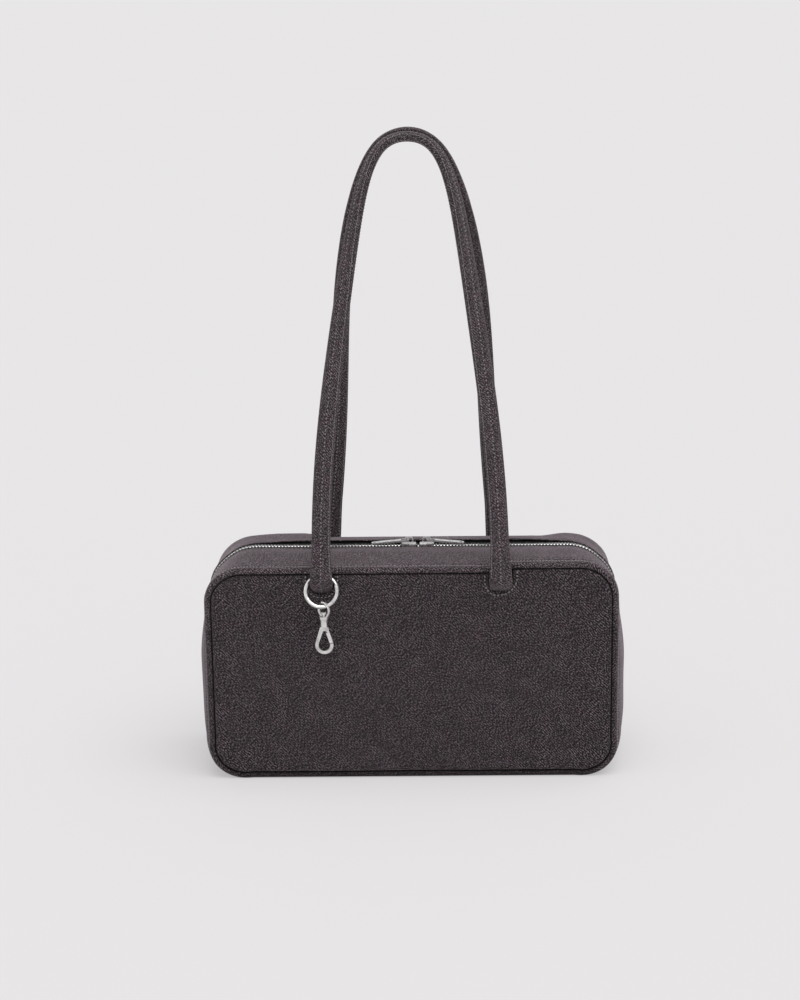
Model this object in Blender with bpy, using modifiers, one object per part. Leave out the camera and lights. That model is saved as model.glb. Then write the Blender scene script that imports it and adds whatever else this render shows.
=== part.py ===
"""A cloth bowler bag: stiffened panels, a gusset with a two-way zip, stuffed straps, a ring and a clip.

Metres, +Z up. The origin is the middle of the base on the table, X is the width and -Y is the front.
"""

import math

import bmesh
import bpy
from mathutils import Matrix, Vector

# Fits between neighbours
FIT = 0.0003
SEAM_GAP = 0.0003

# Body: the panels' outline is measured at the seam
BAG_WIDTH = 0.305
BAG_HEIGHT = 0.163
BAG_DEPTH = 0.100
TOP_CORNER = 0.025
BOTTOM_CORNER = 0.028
PANEL_BULGE = 0.0018

# Gusset: how far it stands out past the seam, and the rolled edge beside the seam
SEAM_LIFT = 0.003
WELT = 0.0036
TOP_CROWN = 0.0075
SIDE_CROWN = 0.0125
TOP_FALL_START = 0.0075
TOP_FALL = 0.022
SIDE_RISE_START = 0.0155
SIDE_RISE = 0.080
SIDE_FALL_START = 0.014
CROWN_FULLNESS = 0.8
CROWN_MARKS = (0.0, 0.5, 0.78, 1.0)
SIDE_ZIP_LENGTH = 0.020

# Layers from the outside in
CLOTH = 0.0015
TAB = 0.0010
FOAM = 0.0030
SIDE_FOAM = 0.0020
LINING = 0.0008
TAPE = 0.0005
PANEL_INSET = 0.0010
BOARD_CORNER = 0.008
FOAM_END_GAP = 0.004

# Zip chain
ZIP_MOUTH = 0.0106
TOOTH_PITCH = 0.0025
TOOTH_HEIGHT = 0.0026
TOOTH_ROOT = 0.0020
TOOTH_TIP = 0.0004
TOOTH_TIP_WIDTH = 0.0007
BEAD = 0.0006
TAPE_WIDTH = 0.0110
LINING_FROM_ZIP = 0.0090
CHAIN_PARTING = 0.0013

# Sliders
SLIDER_MEET_X = 0.0045
SLIDER_NOSE_GAP = 0.0030
SLIDER_LENGTH = 0.0110
SLIDER_NOSE_HALF = 0.0048
SLIDER_TAIL_HALF = 0.0036
SLIDER_WALL = 0.0007
SLIDER_ROUNDING = 0.0006
SLIDER_TAPER_START = 0.0045
SLIDER_TAPER_END = 0.0080
WING = 0.0010
WING_CLEARANCE = 0.00025
DIVIDER_LENGTH = 0.0035
DIVIDER_HALF = 0.0007
BRIDGE_WIDTH = 0.0018
BRIDGE_THICKNESS = 0.0010
BRIDGE_OPENING = 0.0036
BRIDGE_START = 0.0020
BRIDGE_END = 0.0087
BRIDGE_SHOULDER = 0.7
BRIDGE_CHAMFER = 1.6

# Pulls
PULL_AXIS = 0.0059
PULL_LENGTH = 0.0285
PULL_WIDTH = 0.0050
PULL_THICKNESS = 0.0014
PULL_LIFT = 0.0024
PULL_EYE_LENGTH = 0.0049
PULL_EYE_WIDTH = 0.0026
PULL_HOLE = 0.0022
PULL_NECK = 0.86
PULL_SHOULDER = 0.35

# Straps
STRAP_SPREAD = 0.0675
STRAP_TOP = 0.4855
STRAP_ROUND_DROP = 0.070
STRAP_LEG_POWER = 4
STRAP_LEAN = 0.0025
STRAP_BASE_WIDTH = 0.0175
STRAP_WIDTH = 0.0140
STRAP_BASE_THICKNESS = 0.0084
STRAP_THICKNESS = 0.0080
STRAP_CREASE = 0.30
STRAP_PUFF = 1.2
SLEEVE_WALL = 0.0010
STRAP_STEPS = 30
STRAP_BEND_WEIGHT = 0.1
STRAP_WIDEN_LENGTH = 0.045
STRAP_TWIST_START = 0.2
STRAP_NOSE_LENGTH = 0.0036
STRAP_HINGE_OUT = 0.0053
STRAP_HINGE_DROP = 0.014
STRAP_END_DROP = 0.017
STRAP_ARCH_DIFFERENCE = 0.0022
NOTCH_WIDTH = 0.0188
NOTCH_ROUNDNESS = 0.9
TAB_WIDTH = 0.0235
TAB_MARGIN = 0.0035
TONGUE_HEIGHT = 0.0055

# Ring and clip, which hang on the left end of the front strap
RING_DIAMETER = 0.0270
RING_WIRE = 0.0032
RING_TILT = math.radians(23)
RING_TOP_DROP = 0.0025
RING_SEAT = 0.0006
CLIP_OFFSET = 0.0018
EYE_WIRE = 0.0020
EYE_SLACK = 0.0009
EYE_HALF_WIDTH = 0.0054
EYE_HALF_HEIGHT = 0.0056
EYE_YAW = math.radians(-42)
COLLAR_RADIUS = 0.0036
COLLAR_HEIGHT = 0.0022
STEM_RADIUS = 0.0011
STEM_CLEARANCE = 0.00008
RIVET_RADIUS = 0.0020
RIVET_HEIGHT = 0.0014
NECK_LENGTH = 0.0063
NECK_TOP_RADIUS = 0.0027
NECK_BOTTOM_RADIUS = 0.0029
HOOK_LENGTH = 0.0206
HOOK_RADIUS = 0.0069
HOOK_LEG = 0.0025
HOOK_THICKNESS = 0.0038
GATE_LENGTH = 0.0116
GATE_THICKNESS = 0.0032
GATE_HUB = 0.0016
GATE_SLOT = 0.0022
GATE_CLEARANCE = 0.00025
GATE_LAP = 1.6
GATE_PIN = 0.0005
GATE_PIN_CLEARANCE = 0.00008

# Places worked out from the sizes above
HALF_WIDTH = BAG_WIDTH / 2
HALF_DEPTH = BAG_DEPTH / 2
SEAM_TOP = SEAM_LIFT + BAG_HEIGHT
TOP_RUN = HALF_WIDTH - TOP_CORNER
TOP_ARC = TOP_CORNER * math.pi / 2
SIDE_RUN = BAG_HEIGHT - TOP_CORNER - BOTTOM_CORNER
BOTTOM_ARC = BOTTOM_CORNER * math.pi / 2
HALF_RUN = TOP_RUN + TOP_ARC + SIDE_RUN + BOTTOM_ARC + HALF_WIDTH - BOTTOM_CORNER
ZIP_END = TOP_RUN + TOP_ARC + SIDE_ZIP_LENGTH
ZIP_HALF = ZIP_MOUTH / 2
CHAIN_HALF = TOOTH_ROOT + BEAD
CHAIN_LEVEL = -CLOTH - FIT - TAPE / 2
TAB_FACE = HALF_DEPTH - CLOTH - FIT
FOAM_FACE = TAB_FACE - TAB - FIT
LINING_FACE = FOAM_FACE - FOAM - FIT
CAVITY_HALF = LINING_FACE - LINING - FIT
INSIDE = HALF_DEPTH - WELT
STRAP_HINGE_Z = SEAM_TOP - STRAP_HINGE_DROP
STRAP_END_Z = SEAM_TOP - STRAP_END_DROP
RING_RADIUS = (RING_DIAMETER - RING_WIRE) / 2
RING_TOP_Z = SEAM_TOP - RING_TOP_DROP
RING_WIRE_Y = TAB_FACE + RING_SEAT + RING_WIRE / 2
STRAP_BASE_Y = RING_WIRE_Y + RING_WIRE / 2 + RING_SEAT + STRAP_BASE_THICKNESS / 2
STRAP_HINGE_Y = HALF_DEPTH + STRAP_HINGE_OUT
WING_TOP = CHAIN_LEVEL + TOOTH_HEIGHT / 2 + WING_CLEARANCE + WING
PULL_RISE = WING_TOP + PULL_LIFT - (CHAIN_LEVEL + TOOTH_HEIGHT / 2) - PULL_THICKNESS / 2 - FIT
PULL_SLOPE = math.asin(PULL_RISE / PULL_LENGTH)

BAG = bpy.data.collections.new("bowler_bag")
CUTTERS = bpy.data.collections.new("cutters")


def clear_scene():
    for thing in list(bpy.data.objects):
        bpy.data.objects.remove(thing, do_unlink=True)
    for collection in (BAG, CUTTERS):
        bpy.context.scene.collection.children.link(collection)


def material(name, colour, roughness, metallic=0.0):
    finish = bpy.data.materials.new(name)
    finish.use_nodes = True
    shader = finish.node_tree.nodes["Principled BSDF"]
    shader.inputs["Base Color"].default_value = (*colour, 1.0)
    shader.inputs["Roughness"].default_value = roughness
    shader.inputs["Metallic"].default_value = metallic
    return finish


def smooth(value):
    """Ease from 0 to 1 with level ends."""
    value = min(max(value, 0.0), 1.0)
    return value * value * (3 - 2 * value)


def blend(start, end, share):
    return start + (end - start) * share


# Blender helpers


def place(thing, finish, collection=BAG):
    for old in list(thing.users_collection):
        old.objects.unlink(thing)
    collection.objects.link(thing)
    thing.data.materials.clear()
    if finish is not None:
        thing.data.materials.append(finish)
    return thing


def object_from(bm, name, finish, smooth_angle=40):
    bmesh.ops.remove_doubles(bm, verts=bm.verts, dist=1e-6)
    bmesh.ops.recalc_face_normals(bm, faces=bm.faces)
    mesh = bpy.data.meshes.new(name)
    bm.to_mesh(mesh)
    bm.free()
    mesh.shade_smooth()
    mesh.set_sharp_from_angle(angle=math.radians(smooth_angle))
    thing = bpy.data.objects.new(name, mesh)
    bpy.context.scene.collection.objects.link(thing)
    return place(thing, finish)


def move_origin(thing, point):
    """Put the object's origin on a point, such as its joint's axis, and leave its mesh where it is."""
    point = Vector(point)
    thing.data.transform(Matrix.Translation(-point) @ thing.matrix_world)
    thing.matrix_world = Matrix.Translation(point)
    return thing


def mesh_from_curve(curve_object):
    """Make a curve a welded mesh, so that it can be cut or joined."""
    bpy.context.view_layer.update()
    seen = curve_object.evaluated_get(bpy.context.evaluated_depsgraph_get())
    mesh = bpy.data.meshes.new_from_object(seen)
    bm = bmesh.new()
    bm.from_mesh(mesh)
    bmesh.ops.remove_doubles(bm, verts=bm.verts, dist=1e-6)
    bmesh.ops.recalc_face_normals(bm, faces=bm.faces)
    bm.to_mesh(mesh)
    bm.free()
    name, where = curve_object.name, curve_object.matrix_world.copy()
    bpy.data.objects.remove(curve_object, do_unlink=True)
    thing = bpy.data.objects.new(name, mesh)
    thing.matrix_world = where
    bpy.context.scene.collection.objects.link(thing)
    return thing


def flat_plate(name, outlines, thickness, place_by=Matrix.Identity(4)):
    """A flat outline with its holes, as thick as asked, about its own middle plane."""
    curve = bpy.data.curves.new(name, "CURVE")
    curve.dimensions = "2D"
    curve.fill_mode = "BOTH"
    curve.extrude = thickness / 2
    for outline in outlines:
        spline = curve.splines.new("POLY")
        spline.points.add(len(outline) - 1)
        for point, (x, y) in zip(spline.points, outline):
            point.co = (x, y, 0, 1)
        spline.use_cyclic_u = True
    thing = bpy.data.objects.new(name, curve)
    bpy.context.scene.collection.objects.link(thing)
    thing.matrix_world = place_by
    return mesh_from_curve(thing)


def round_bar(name, start, end, radius, sides=12):
    """A cylinder between two points."""
    start, end = Vector(start), Vector(end)
    bm = bmesh.new()
    bmesh.ops.create_cone(bm, cap_ends=True, segments=sides, radius1=radius, radius2=radius,
                          depth=(end - start).length)
    turn = (end - start).to_track_quat("Z", "Y").to_matrix().to_4x4()
    bmesh.ops.transform(bm, matrix=Matrix.Translation((start + end) / 2) @ turn, verts=bm.verts)
    return object_from(bm, name, None)


def upright_bar(name, foot, low, high, radius, sides):
    """A vertical cylinder between two heights over a point."""
    return round_bar(name, foot + Vector((0, 0, low)), foot + Vector((0, 0, high)), radius, sides)


def block(name, low, high):
    low, high = Vector(low), Vector(high)
    bm = bmesh.new()
    bmesh.ops.create_cube(bm, size=1.0)
    size = Matrix.Diagonal((*(high - low), 1.0))
    bmesh.ops.transform(bm, matrix=Matrix.Translation((low + high) / 2) @ size, verts=bm.verts)
    return object_from(bm, name, None)


def boolean(target, tool, operation):
    """Cut or join with another object, which is kept beside the model as a guide."""
    place(tool, None, CUTTERS)
    tool.hide_render = True
    tool.display_type = "WIRE"
    step = target.modifiers.new(operation.lower() + "_" + tool.name, "BOOLEAN")
    step.operation = operation
    step.object = tool
    step.solver = "EXACT"
    return target


def loft(name, outer, inner, finish):
    """A wall between two skins of matching sections, closed along its edges and at its ends."""
    bm = bmesh.new()
    skins = [[[bm.verts.new(point) for point in section] for section in skin] for skin in (outer, inner)]
    out, into = skins
    for before, after in zip(range(len(out) - 1), range(1, len(out))):
        for k in range(len(out[0]) - 1):
            bm.faces.new((out[before][k], out[before][k + 1], out[after][k + 1], out[after][k]))
            bm.faces.new((into[before][k], into[after][k], into[after][k + 1], into[before][k + 1]))
        for k in (0, len(out[0]) - 1):
            bm.faces.new((out[before][k], out[after][k], into[after][k], into[before][k]))
    for end in (0, len(out) - 1):
        for k in range(len(out[0]) - 1):
            bm.faces.new((out[end][k], out[end][k + 1], into[end][k + 1], into[end][k]))
    return object_from(bm, name, finish)


def tube_loft(name, loops, finish, hollow=None):
    """A solid through closed sections. With hollow sections it is a tube that is open at both ends."""
    bm = bmesh.new()
    count = len(loops[0])
    skins = [[[bm.verts.new(point) for point in loop] for loop in skin] for skin in (loops, hollow) if skin]
    for rings in skins:
        for before, after in zip(rings, rings[1:]):
            for k in range(count):
                n = (k + 1) % count
                bm.faces.new((before[k], before[n], after[n], after[k]))
    for end in (0, -1):
        if hollow is None:
            bm.faces.new(skins[0][end])
            continue
        for k in range(count):
            n = (k + 1) % count
            bm.faces.new((skins[0][end][k], skins[0][end][n], skins[1][end][n], skins[1][end][k]))
    return object_from(bm, name, finish, smooth_angle=60)


# The body's shape: everything on the gusset is placed by a distance along the seam from the top centre


def gusset_crown(left):
    """How far the gusset's middle stands out past the seam: it is drawn flat round the corners."""
    top = 1 - smooth((left - TOP_RUN + TOP_FALL_START) / TOP_FALL)
    side = smooth((left - TOP_RUN - SIDE_RISE_START) / SIDE_RISE)
    past = left - (TOP_RUN + TOP_ARC + SIDE_RUN - SIDE_FALL_START)
    side *= 1 - smooth(past / (SIDE_FALL_START + BOTTOM_ARC))
    return SEAM_LIFT + (TOP_CROWN - SEAM_LIFT) * top + (SIDE_CROWN - SEAM_LIFT) * side


def seam_frame(run):
    """Seam point, outward direction and the gusset's crown, at a distance along the seam from the top."""
    side, left = (1, run) if run >= 0 else (-1, -run)
    if left > HALF_RUN:
        side, left = -side, 2 * HALF_RUN - left
    if left <= TOP_RUN:
        x, z, turn = left, SEAM_TOP, 0.0
    elif left <= TOP_RUN + TOP_ARC:
        turn = (left - TOP_RUN) / TOP_CORNER
        x = TOP_RUN + TOP_CORNER * math.sin(turn)
        z = SEAM_TOP - TOP_CORNER * (1 - math.cos(turn))
    elif left <= TOP_RUN + TOP_ARC + SIDE_RUN:
        down = left - TOP_RUN - TOP_ARC
        x, z, turn = HALF_WIDTH, SEAM_TOP - TOP_CORNER - down, math.pi / 2
    elif left <= TOP_RUN + TOP_ARC + SIDE_RUN + BOTTOM_ARC:
        bend = (left - TOP_RUN - TOP_ARC - SIDE_RUN) / BOTTOM_CORNER
        turn = math.pi / 2 + bend
        x = HALF_WIDTH - BOTTOM_CORNER * (1 - math.cos(bend))
        z = SEAM_LIFT + BOTTOM_CORNER * (1 - math.sin(bend))
    else:
        x, z, turn = HALF_RUN - left, SEAM_LIFT, math.pi
    return side * x, z, side * math.sin(turn), math.cos(turn), gusset_crown(left)


def surface(y, crown):
    """How far the gusset's outside stands out past the seam, between the rolled edges."""
    reach = min(abs(y) / INSIDE, 1.0)
    last = next(k for k in range(1, len(CROWN_MARKS)) if reach <= CROWN_MARKS[k])
    share = (reach - CROWN_MARKS[last - 1]) / (CROWN_MARKS[last] - CROWN_MARKS[last - 1])
    heights = [math.cos(math.pi / 2 * mark) ** CROWN_FULLNESS if mark < 1 else 0.0 for mark in CROWN_MARKS]
    return SEAM_LIFT + (crown - SEAM_LIFT) * blend(heights[last - 1], heights[last], share)


def on_gusset(run, y, depth):
    """A point on the gusset, at a depth below its outside."""
    x, z, out_x, out_z, crown = seam_frame(run)
    height = surface(y, crown) - depth
    return Vector((x + out_x * height, y, z + out_z * height))


def on_chain(run, y, level):
    """A point of the zip, at a level over the crown line, which doesn't fall away from the middle."""
    x, z, out_x, out_z, crown = seam_frame(run)
    return Vector((x + out_x * (crown + level), y, z + out_z * (crown + level)))


def runs_between(start, end):
    """Where to put sections between two places on the seam: few on straight runs, more round corners."""
    corner = 6
    marks = [0.0, TOP_RUN - TOP_FALL_START, TOP_RUN, TOP_RUN + TOP_ARC, TOP_RUN + TOP_ARC + SIDE_RUN,
             TOP_RUN + TOP_ARC + SIDE_RUN + BOTTOM_ARC, HALF_RUN]
    pieces = [1, 1, corner, 5, corner, 1]
    half = []
    for low, high, count in zip(marks, marks[1:], pieces):
        half += [blend(low, high, k / count) for k in range(count)]
    whole = [-run for run in half] + half + [HALF_RUN] + [2 * HALF_RUN - run for run in half]
    inside = [run for run in whole if start + FIT < run < end - FIT]
    return sorted(set([start, end] + inside))


def rolled_edge(side):
    """The rolled edge beside one seam: outer and inner points, as (y, height past the seam)."""
    points = []
    for turn in (0, math.pi / 4, math.pi / 2):
        outer = (side * (INSIDE + WELT * math.cos(turn)),
                 SEAM_GAP + (SEAM_LIFT - SEAM_GAP) * math.sin(turn))
        inner = (side * (INSIDE + (WELT - CLOTH) * math.cos(turn)),
                 SEAM_GAP + (SEAM_LIFT - CLOTH - SEAM_GAP) * math.sin(turn))
        points.append((outer, inner))
    return points


def gusset_sections(run, across, edges):
    """The outer and inner points of a gusset's section: its crown between the named rolled edges."""
    x, z, out_x, out_z, crown = seam_frame(run)
    middle = [((y, surface(y, crown)), (y, surface(y, crown) - CLOTH)) for y in across]
    pairs = middle
    if -1 in edges:
        pairs = rolled_edge(-1) + pairs
    if 1 in edges:
        pairs = pairs + rolled_edge(1)[::-1]
    return [[Vector((x + out_x * height, y, z + out_z * height)) for y, height in points]
            for points in zip(*pairs)]


def panel_outline(inset, corner_steps):
    """The panel's outline, as (x, z), drawn in from the seam by an inset."""
    half, low, high = HALF_WIDTH - inset, SEAM_LIFT + inset, SEAM_TOP - inset
    top, bottom = TOP_CORNER - inset, BOTTOM_CORNER - inset
    corners = [(half - top, high - top, top, 0), (-half + top, high - top, top, 1),
               (-half + bottom, low + bottom, bottom, 2), (half - bottom, low + bottom, bottom, 3)]
    points = []
    for x, z, radius, quarter in corners:
        for k in range(corner_steps + 1):
            turn = (quarter + k / corner_steps) * math.pi / 2
            points.append((x + radius * math.cos(turn), z + radius * math.sin(turn)))
    return points


# Body pieces


def bulged_panel(name, side, face, thickness, finish):
    """A shell panel: rings of its outline, drawn in towards the middle and swelling outwards."""
    middle = SEAM_LIFT + BAG_HEIGHT / 2
    outline = panel_outline(0.0, 6)
    rings = [(1.0, 1.0), (0.93, 0.88), (0.62, 0.50)]

    def swell(x, z):
        across = 1 - (x / HALF_WIDTH) ** 2
        upright = 1 - ((z - middle) / (BAG_HEIGHT / 2)) ** 2
        return PANEL_BULGE * max(across, 0) * max(upright, 0)

    skins = []
    for depth in (face, face - thickness):
        skins.append([[Vector((x * wide, side * (depth + swell(x * wide, middle + (z - middle) * tall)),
                               middle + (z - middle) * tall)) for x, z in outline] for wide, tall in rings])
    bm = bmesh.new()
    count = len(outline)
    loops = [[[bm.verts.new(point) for point in ring] for ring in skin] for skin in skins]
    for skin in loops:
        for ring, inner in zip(skin, skin[1:]):
            for k in range(count):
                n = (k + 1) % count
                bm.faces.new((ring[k], ring[n], inner[n], inner[k]))
        bm.faces.new(skin[-1])
    for k in range(count):
        n = (k + 1) % count
        bm.faces.new((loops[0][0][k], loops[0][0][n], loops[1][0][n], loops[1][0][k]))
    return object_from(bm, name, finish)


def upright_at(x, y):
    """Stands a flat plate up, facing the front, at a place."""
    return Matrix.Translation((x, y, 0)) @ Matrix.Rotation(math.pi / 2, 4, "X")


def notch_outline(width, bottom, top):
    """A U shape with a level top, as (x, z). A low top leaves only the foot of the U."""
    half = width / 2
    radius = half * NOTCH_ROUNDNESS
    first = math.asin(max(0.0, 1 - (top - bottom) / radius))
    steps = 6
    turns = [blend(first, math.pi / 2, k / steps) for k in range(steps + 1)]
    left = [(-half + radius * (1 - math.cos(turn)), bottom + radius * (1 - math.sin(turn))) for turn in turns]
    right = [(-x, z) for x, z in left[::-1]]
    walls = [(half, top), (-half, top)] if top - bottom > radius else []
    return walls + left + right


def strap_notch(name, side, strap_x):
    """The cutter for the U notch in a panel's top edge, where a strap's end comes out."""
    outline = notch_outline(NOTCH_WIDTH, STRAP_END_Z, SEAM_TOP + TOP_CROWN)
    return flat_plate(name, [outline], CLOTH * 4, upright_at(strap_x, side * (HALF_DEPTH - CLOTH / 2)))


def panels(cloth):
    for name, side in (("front_panel", -1), ("back_panel", 1)):
        panel = bulged_panel(name, side, HALF_DEPTH, CLOTH, cloth)
        for label, strap_x in (("left", -STRAP_SPREAD), ("right", STRAP_SPREAD)):
            boolean(panel, strap_notch(f"{name}_notch_{label}", side, strap_x), "DIFFERENCE")


def stiffeners(foam, board_finish, lining):
    """The flat layers behind each panel, the foam in the sides and the board in the base."""
    outline = panel_outline(PANEL_INSET, 5)
    for which, side in (("front", -1), ("back", 1)):
        foam_at = upright_at(0, side * (FOAM_FACE - FOAM / 2))
        lining_at = upright_at(0, side * (LINING_FACE - LINING / 2))
        place(flat_plate(f"{which}_foam", [outline], FOAM, foam_at), foam)
        place(flat_plate(f"lining_{which}", [outline], LINING, lining_at), lining)
    top = ZIP_END + FOAM_END_GAP
    bottom = TOP_RUN + TOP_ARC + SIDE_RUN
    reach = INSIDE * CROWN_MARKS[1]
    for label, start, end in (("right", top, bottom), ("left", 2 * HALF_RUN - bottom, 2 * HALF_RUN - top)):
        layer(f"side_foam_{label}", runs_between(start, end), [-CAVITY_HALF, -reach, 0.0, reach, CAVITY_HALF],
              CLOTH + FIT, SIDE_FOAM, foam)
    half = HALF_WIDTH - BOTTOM_CORNER
    low = CLOTH + FIT
    board = block("base_board", (-half, -CAVITY_HALF, low), (half, CAVITY_HALF, low + SIDE_FOAM))
    place(board, board_finish)
    corners = board.modifiers.new("rounded corners", "BEVEL")
    corners.width = BOARD_CORNER
    corners.segments = 3
    corners.limit_method = "WEIGHT"
    weights = board.data.attributes.new("bevel_weight_edge", "FLOAT", "EDGE")
    for edge in board.data.edges:
        ends = [board.data.vertices[k].co for k in edge.vertices]
        weights.data[edge.index].value = 1.0 if abs(ends[0].z - ends[1].z) > FIT else 0.0


def gussets(cloth, lining):
    """The gusset in three strips: one round the bottom and sides, and one each side of the zip."""
    low, high = (INSIDE * mark for mark in CROWN_MARKS[1:3])
    lower = runs_between(ZIP_END + FIT, 2 * HALF_RUN - ZIP_END - FIT)
    sections = [gusset_sections(run, [-high, -low, 0.0, low, high], (-1, 1)) for run in lower]
    loft("lower_gusset", [s[0] for s in sections], [s[1] for s in sections], cloth)
    upper = runs_between(-ZIP_END, ZIP_END)
    for which, side in (("front", -1), ("back", 1)):
        ys = sorted(side * y for y in (high, low, ZIP_HALF))
        sections = [gusset_sections(run, ys, (side,)) for run in upper]
        loft(f"zip_gusset_{which}", [s[0] for s in sections], [s[1] for s in sections], cloth)
    layer("lining_gusset", lower, [-CAVITY_HALF, -low, 0.0, low, CAVITY_HALF],
          CLOTH + FIT + SIDE_FOAM + FIT, LINING, lining)
    for which, side in (("front", -1), ("back", 1)):
        layer(f"lining_top_{which}", upper, [side * CAVITY_HALF, side * low, side * LINING_FROM_ZIP],
              CLOTH + FIT + TAPE + FIT, LINING, lining)


def layer(name, runs, ys, depth, thickness, finish):
    """A strip that lies inside the gusset, at a depth below its outside."""
    outer = [[on_gusset(run, y, depth) for y in ys] for run in runs]
    inner = [[on_gusset(run, y, depth + thickness) for y in ys] for run in runs]
    return loft(name, outer, inner, finish)


# Zip chain


def chain_parting(x):
    """How far each row of teeth stands off the middle: they part between the two sliders."""
    free = SLIDER_NOSE_GAP / 2 + DIVIDER_LENGTH + WING_CLEARANCE
    past = abs(x - SLIDER_MEET_X) - free
    return CHAIN_PARTING * (1 - smooth(past / (SLIDER_LENGTH / 2 - WING)))


def chain_runs(pitch):
    """Places on the seam that are one pitch apart measured along the chain itself."""
    fine = pitch / 25
    places, run, gone = [0.0], 0.0, 0.0
    last = on_chain(0.0, 0.0, CHAIN_LEVEL)
    while run < ZIP_END - pitch:
        run += fine
        here = on_chain(run, 0.0, CHAIN_LEVEL)
        gone += (here - last).length
        last = here
        if gone >= pitch:
            places.append(run)
            gone -= pitch
    return [-run for run in places[:0:-1]] + places


def zip_teeth(name, side, finish):
    """One row of teeth on its bead, cut as a comb in the flat and then laid along the chain."""
    marks = chain_runs(TOOTH_PITCH)
    if side > 0:
        marks = [(a + b) / 2 for a, b in zip(marks, marks[1:])]
    bm = bmesh.new()
    cells = []
    for level in (CHAIN_LEVEL - TOOTH_HEIGHT / 2, CHAIN_LEVEL + TOOTH_HEIGHT / 2):
        def point(run, y):
            shift = chain_parting(run)
            return bm.verts.new(on_chain(run, side * (y + shift), level))

        outer = [point(run, CHAIN_HALF) for run in marks]
        root = [point(run, TOOTH_ROOT) for run in marks]
        tips = []
        for here, after in zip(marks, marks[1:]):
            middle, half = (here + after) / 2, (after - here) / 2 * TOOTH_TIP_WIDTH / TOOTH_PITCH
            tips.append((point(middle - half, -TOOTH_TIP), point(middle + half, -TOOTH_TIP)))
        cells.append((outer, root, tips))
        for k, (first, second) in enumerate(tips):
            bm.faces.new((outer[k], outer[k + 1], root[k + 1], second, first, root[k]))
    low, high = cells
    for k in range(len(marks) - 1):
        bm.faces.new((low[0][k], low[0][k + 1], high[0][k + 1], high[0][k]))
        edge = (low[1][k], *low[2][k], low[1][k + 1])
        twin = (high[1][k], *high[2][k], high[1][k + 1])
        for n in range(3):
            bm.faces.new((edge[n], edge[n + 1], twin[n + 1], twin[n]))
    for k in (0, -1):
        bm.faces.new((low[0][k], low[1][k], high[1][k], high[0][k]))
    return object_from(bm, name, finish, smooth_angle=20)


def zip_tape(name, side, finish):
    """One side's tape, from the bead out under the gusset strip."""
    near_sliders = [SLIDER_MEET_X + k * SLIDER_LENGTH / 4 for k in range(-5, 6)]
    runs = sorted(runs_between(-ZIP_END, ZIP_END) + near_sliders)

    def row(depth):
        rows = []
        for run in runs:
            inner = on_chain(run, side * (CHAIN_HALF + FIT + chain_parting(run)), -depth)
            outer = on_gusset(run, side * (CHAIN_HALF + TAPE_WIDTH), depth)
            rows.append([inner, outer])
        return rows

    return loft(name, row(CLOTH + FIT), row(CLOTH + FIT + TAPE), finish)


# Sliders and pulls: built with the nose at the origin and the tail towards +X, on the crown line


def slider_half(name, upright, floor):
    """One wing with its two flanges, which is wide at the nose and narrow at the tail."""
    flange = (CHAIN_LEVEL + TOOTH_HEIGHT / 2 + WING_CLEARANCE) - (CHAIN_LEVEL + TAPE / 2 + FIT)
    thin = SLIDER_WALL / 2
    places = [(0.0, SLIDER_NOSE_HALF, thin), (SLIDER_ROUNDING * 2, SLIDER_NOSE_HALF, 0.0),
              (SLIDER_TAPER_START, SLIDER_NOSE_HALF, 0.0), (SLIDER_TAPER_END, SLIDER_TAIL_HALF, 0.0),
              (SLIDER_LENGTH - SLIDER_ROUNDING, SLIDER_TAIL_HALF, 0.0),
              (SLIDER_LENGTH, SLIDER_TAIL_HALF, thin)]
    loops = []
    for x, widest, rounding in places:
        half, inner = widest - rounding, widest - SLIDER_WALL
        profile = [(-half, -flange), (-half, WING), (half, WING), (half, -flange),
                   (inner, -flange), (inner, 0.0), (-inner, 0.0), (-inner, -flange)]
        loops.append([Vector((x, y, floor + upright * z)) for y, z in profile])
    return tube_loft(name, loops, None)


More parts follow.
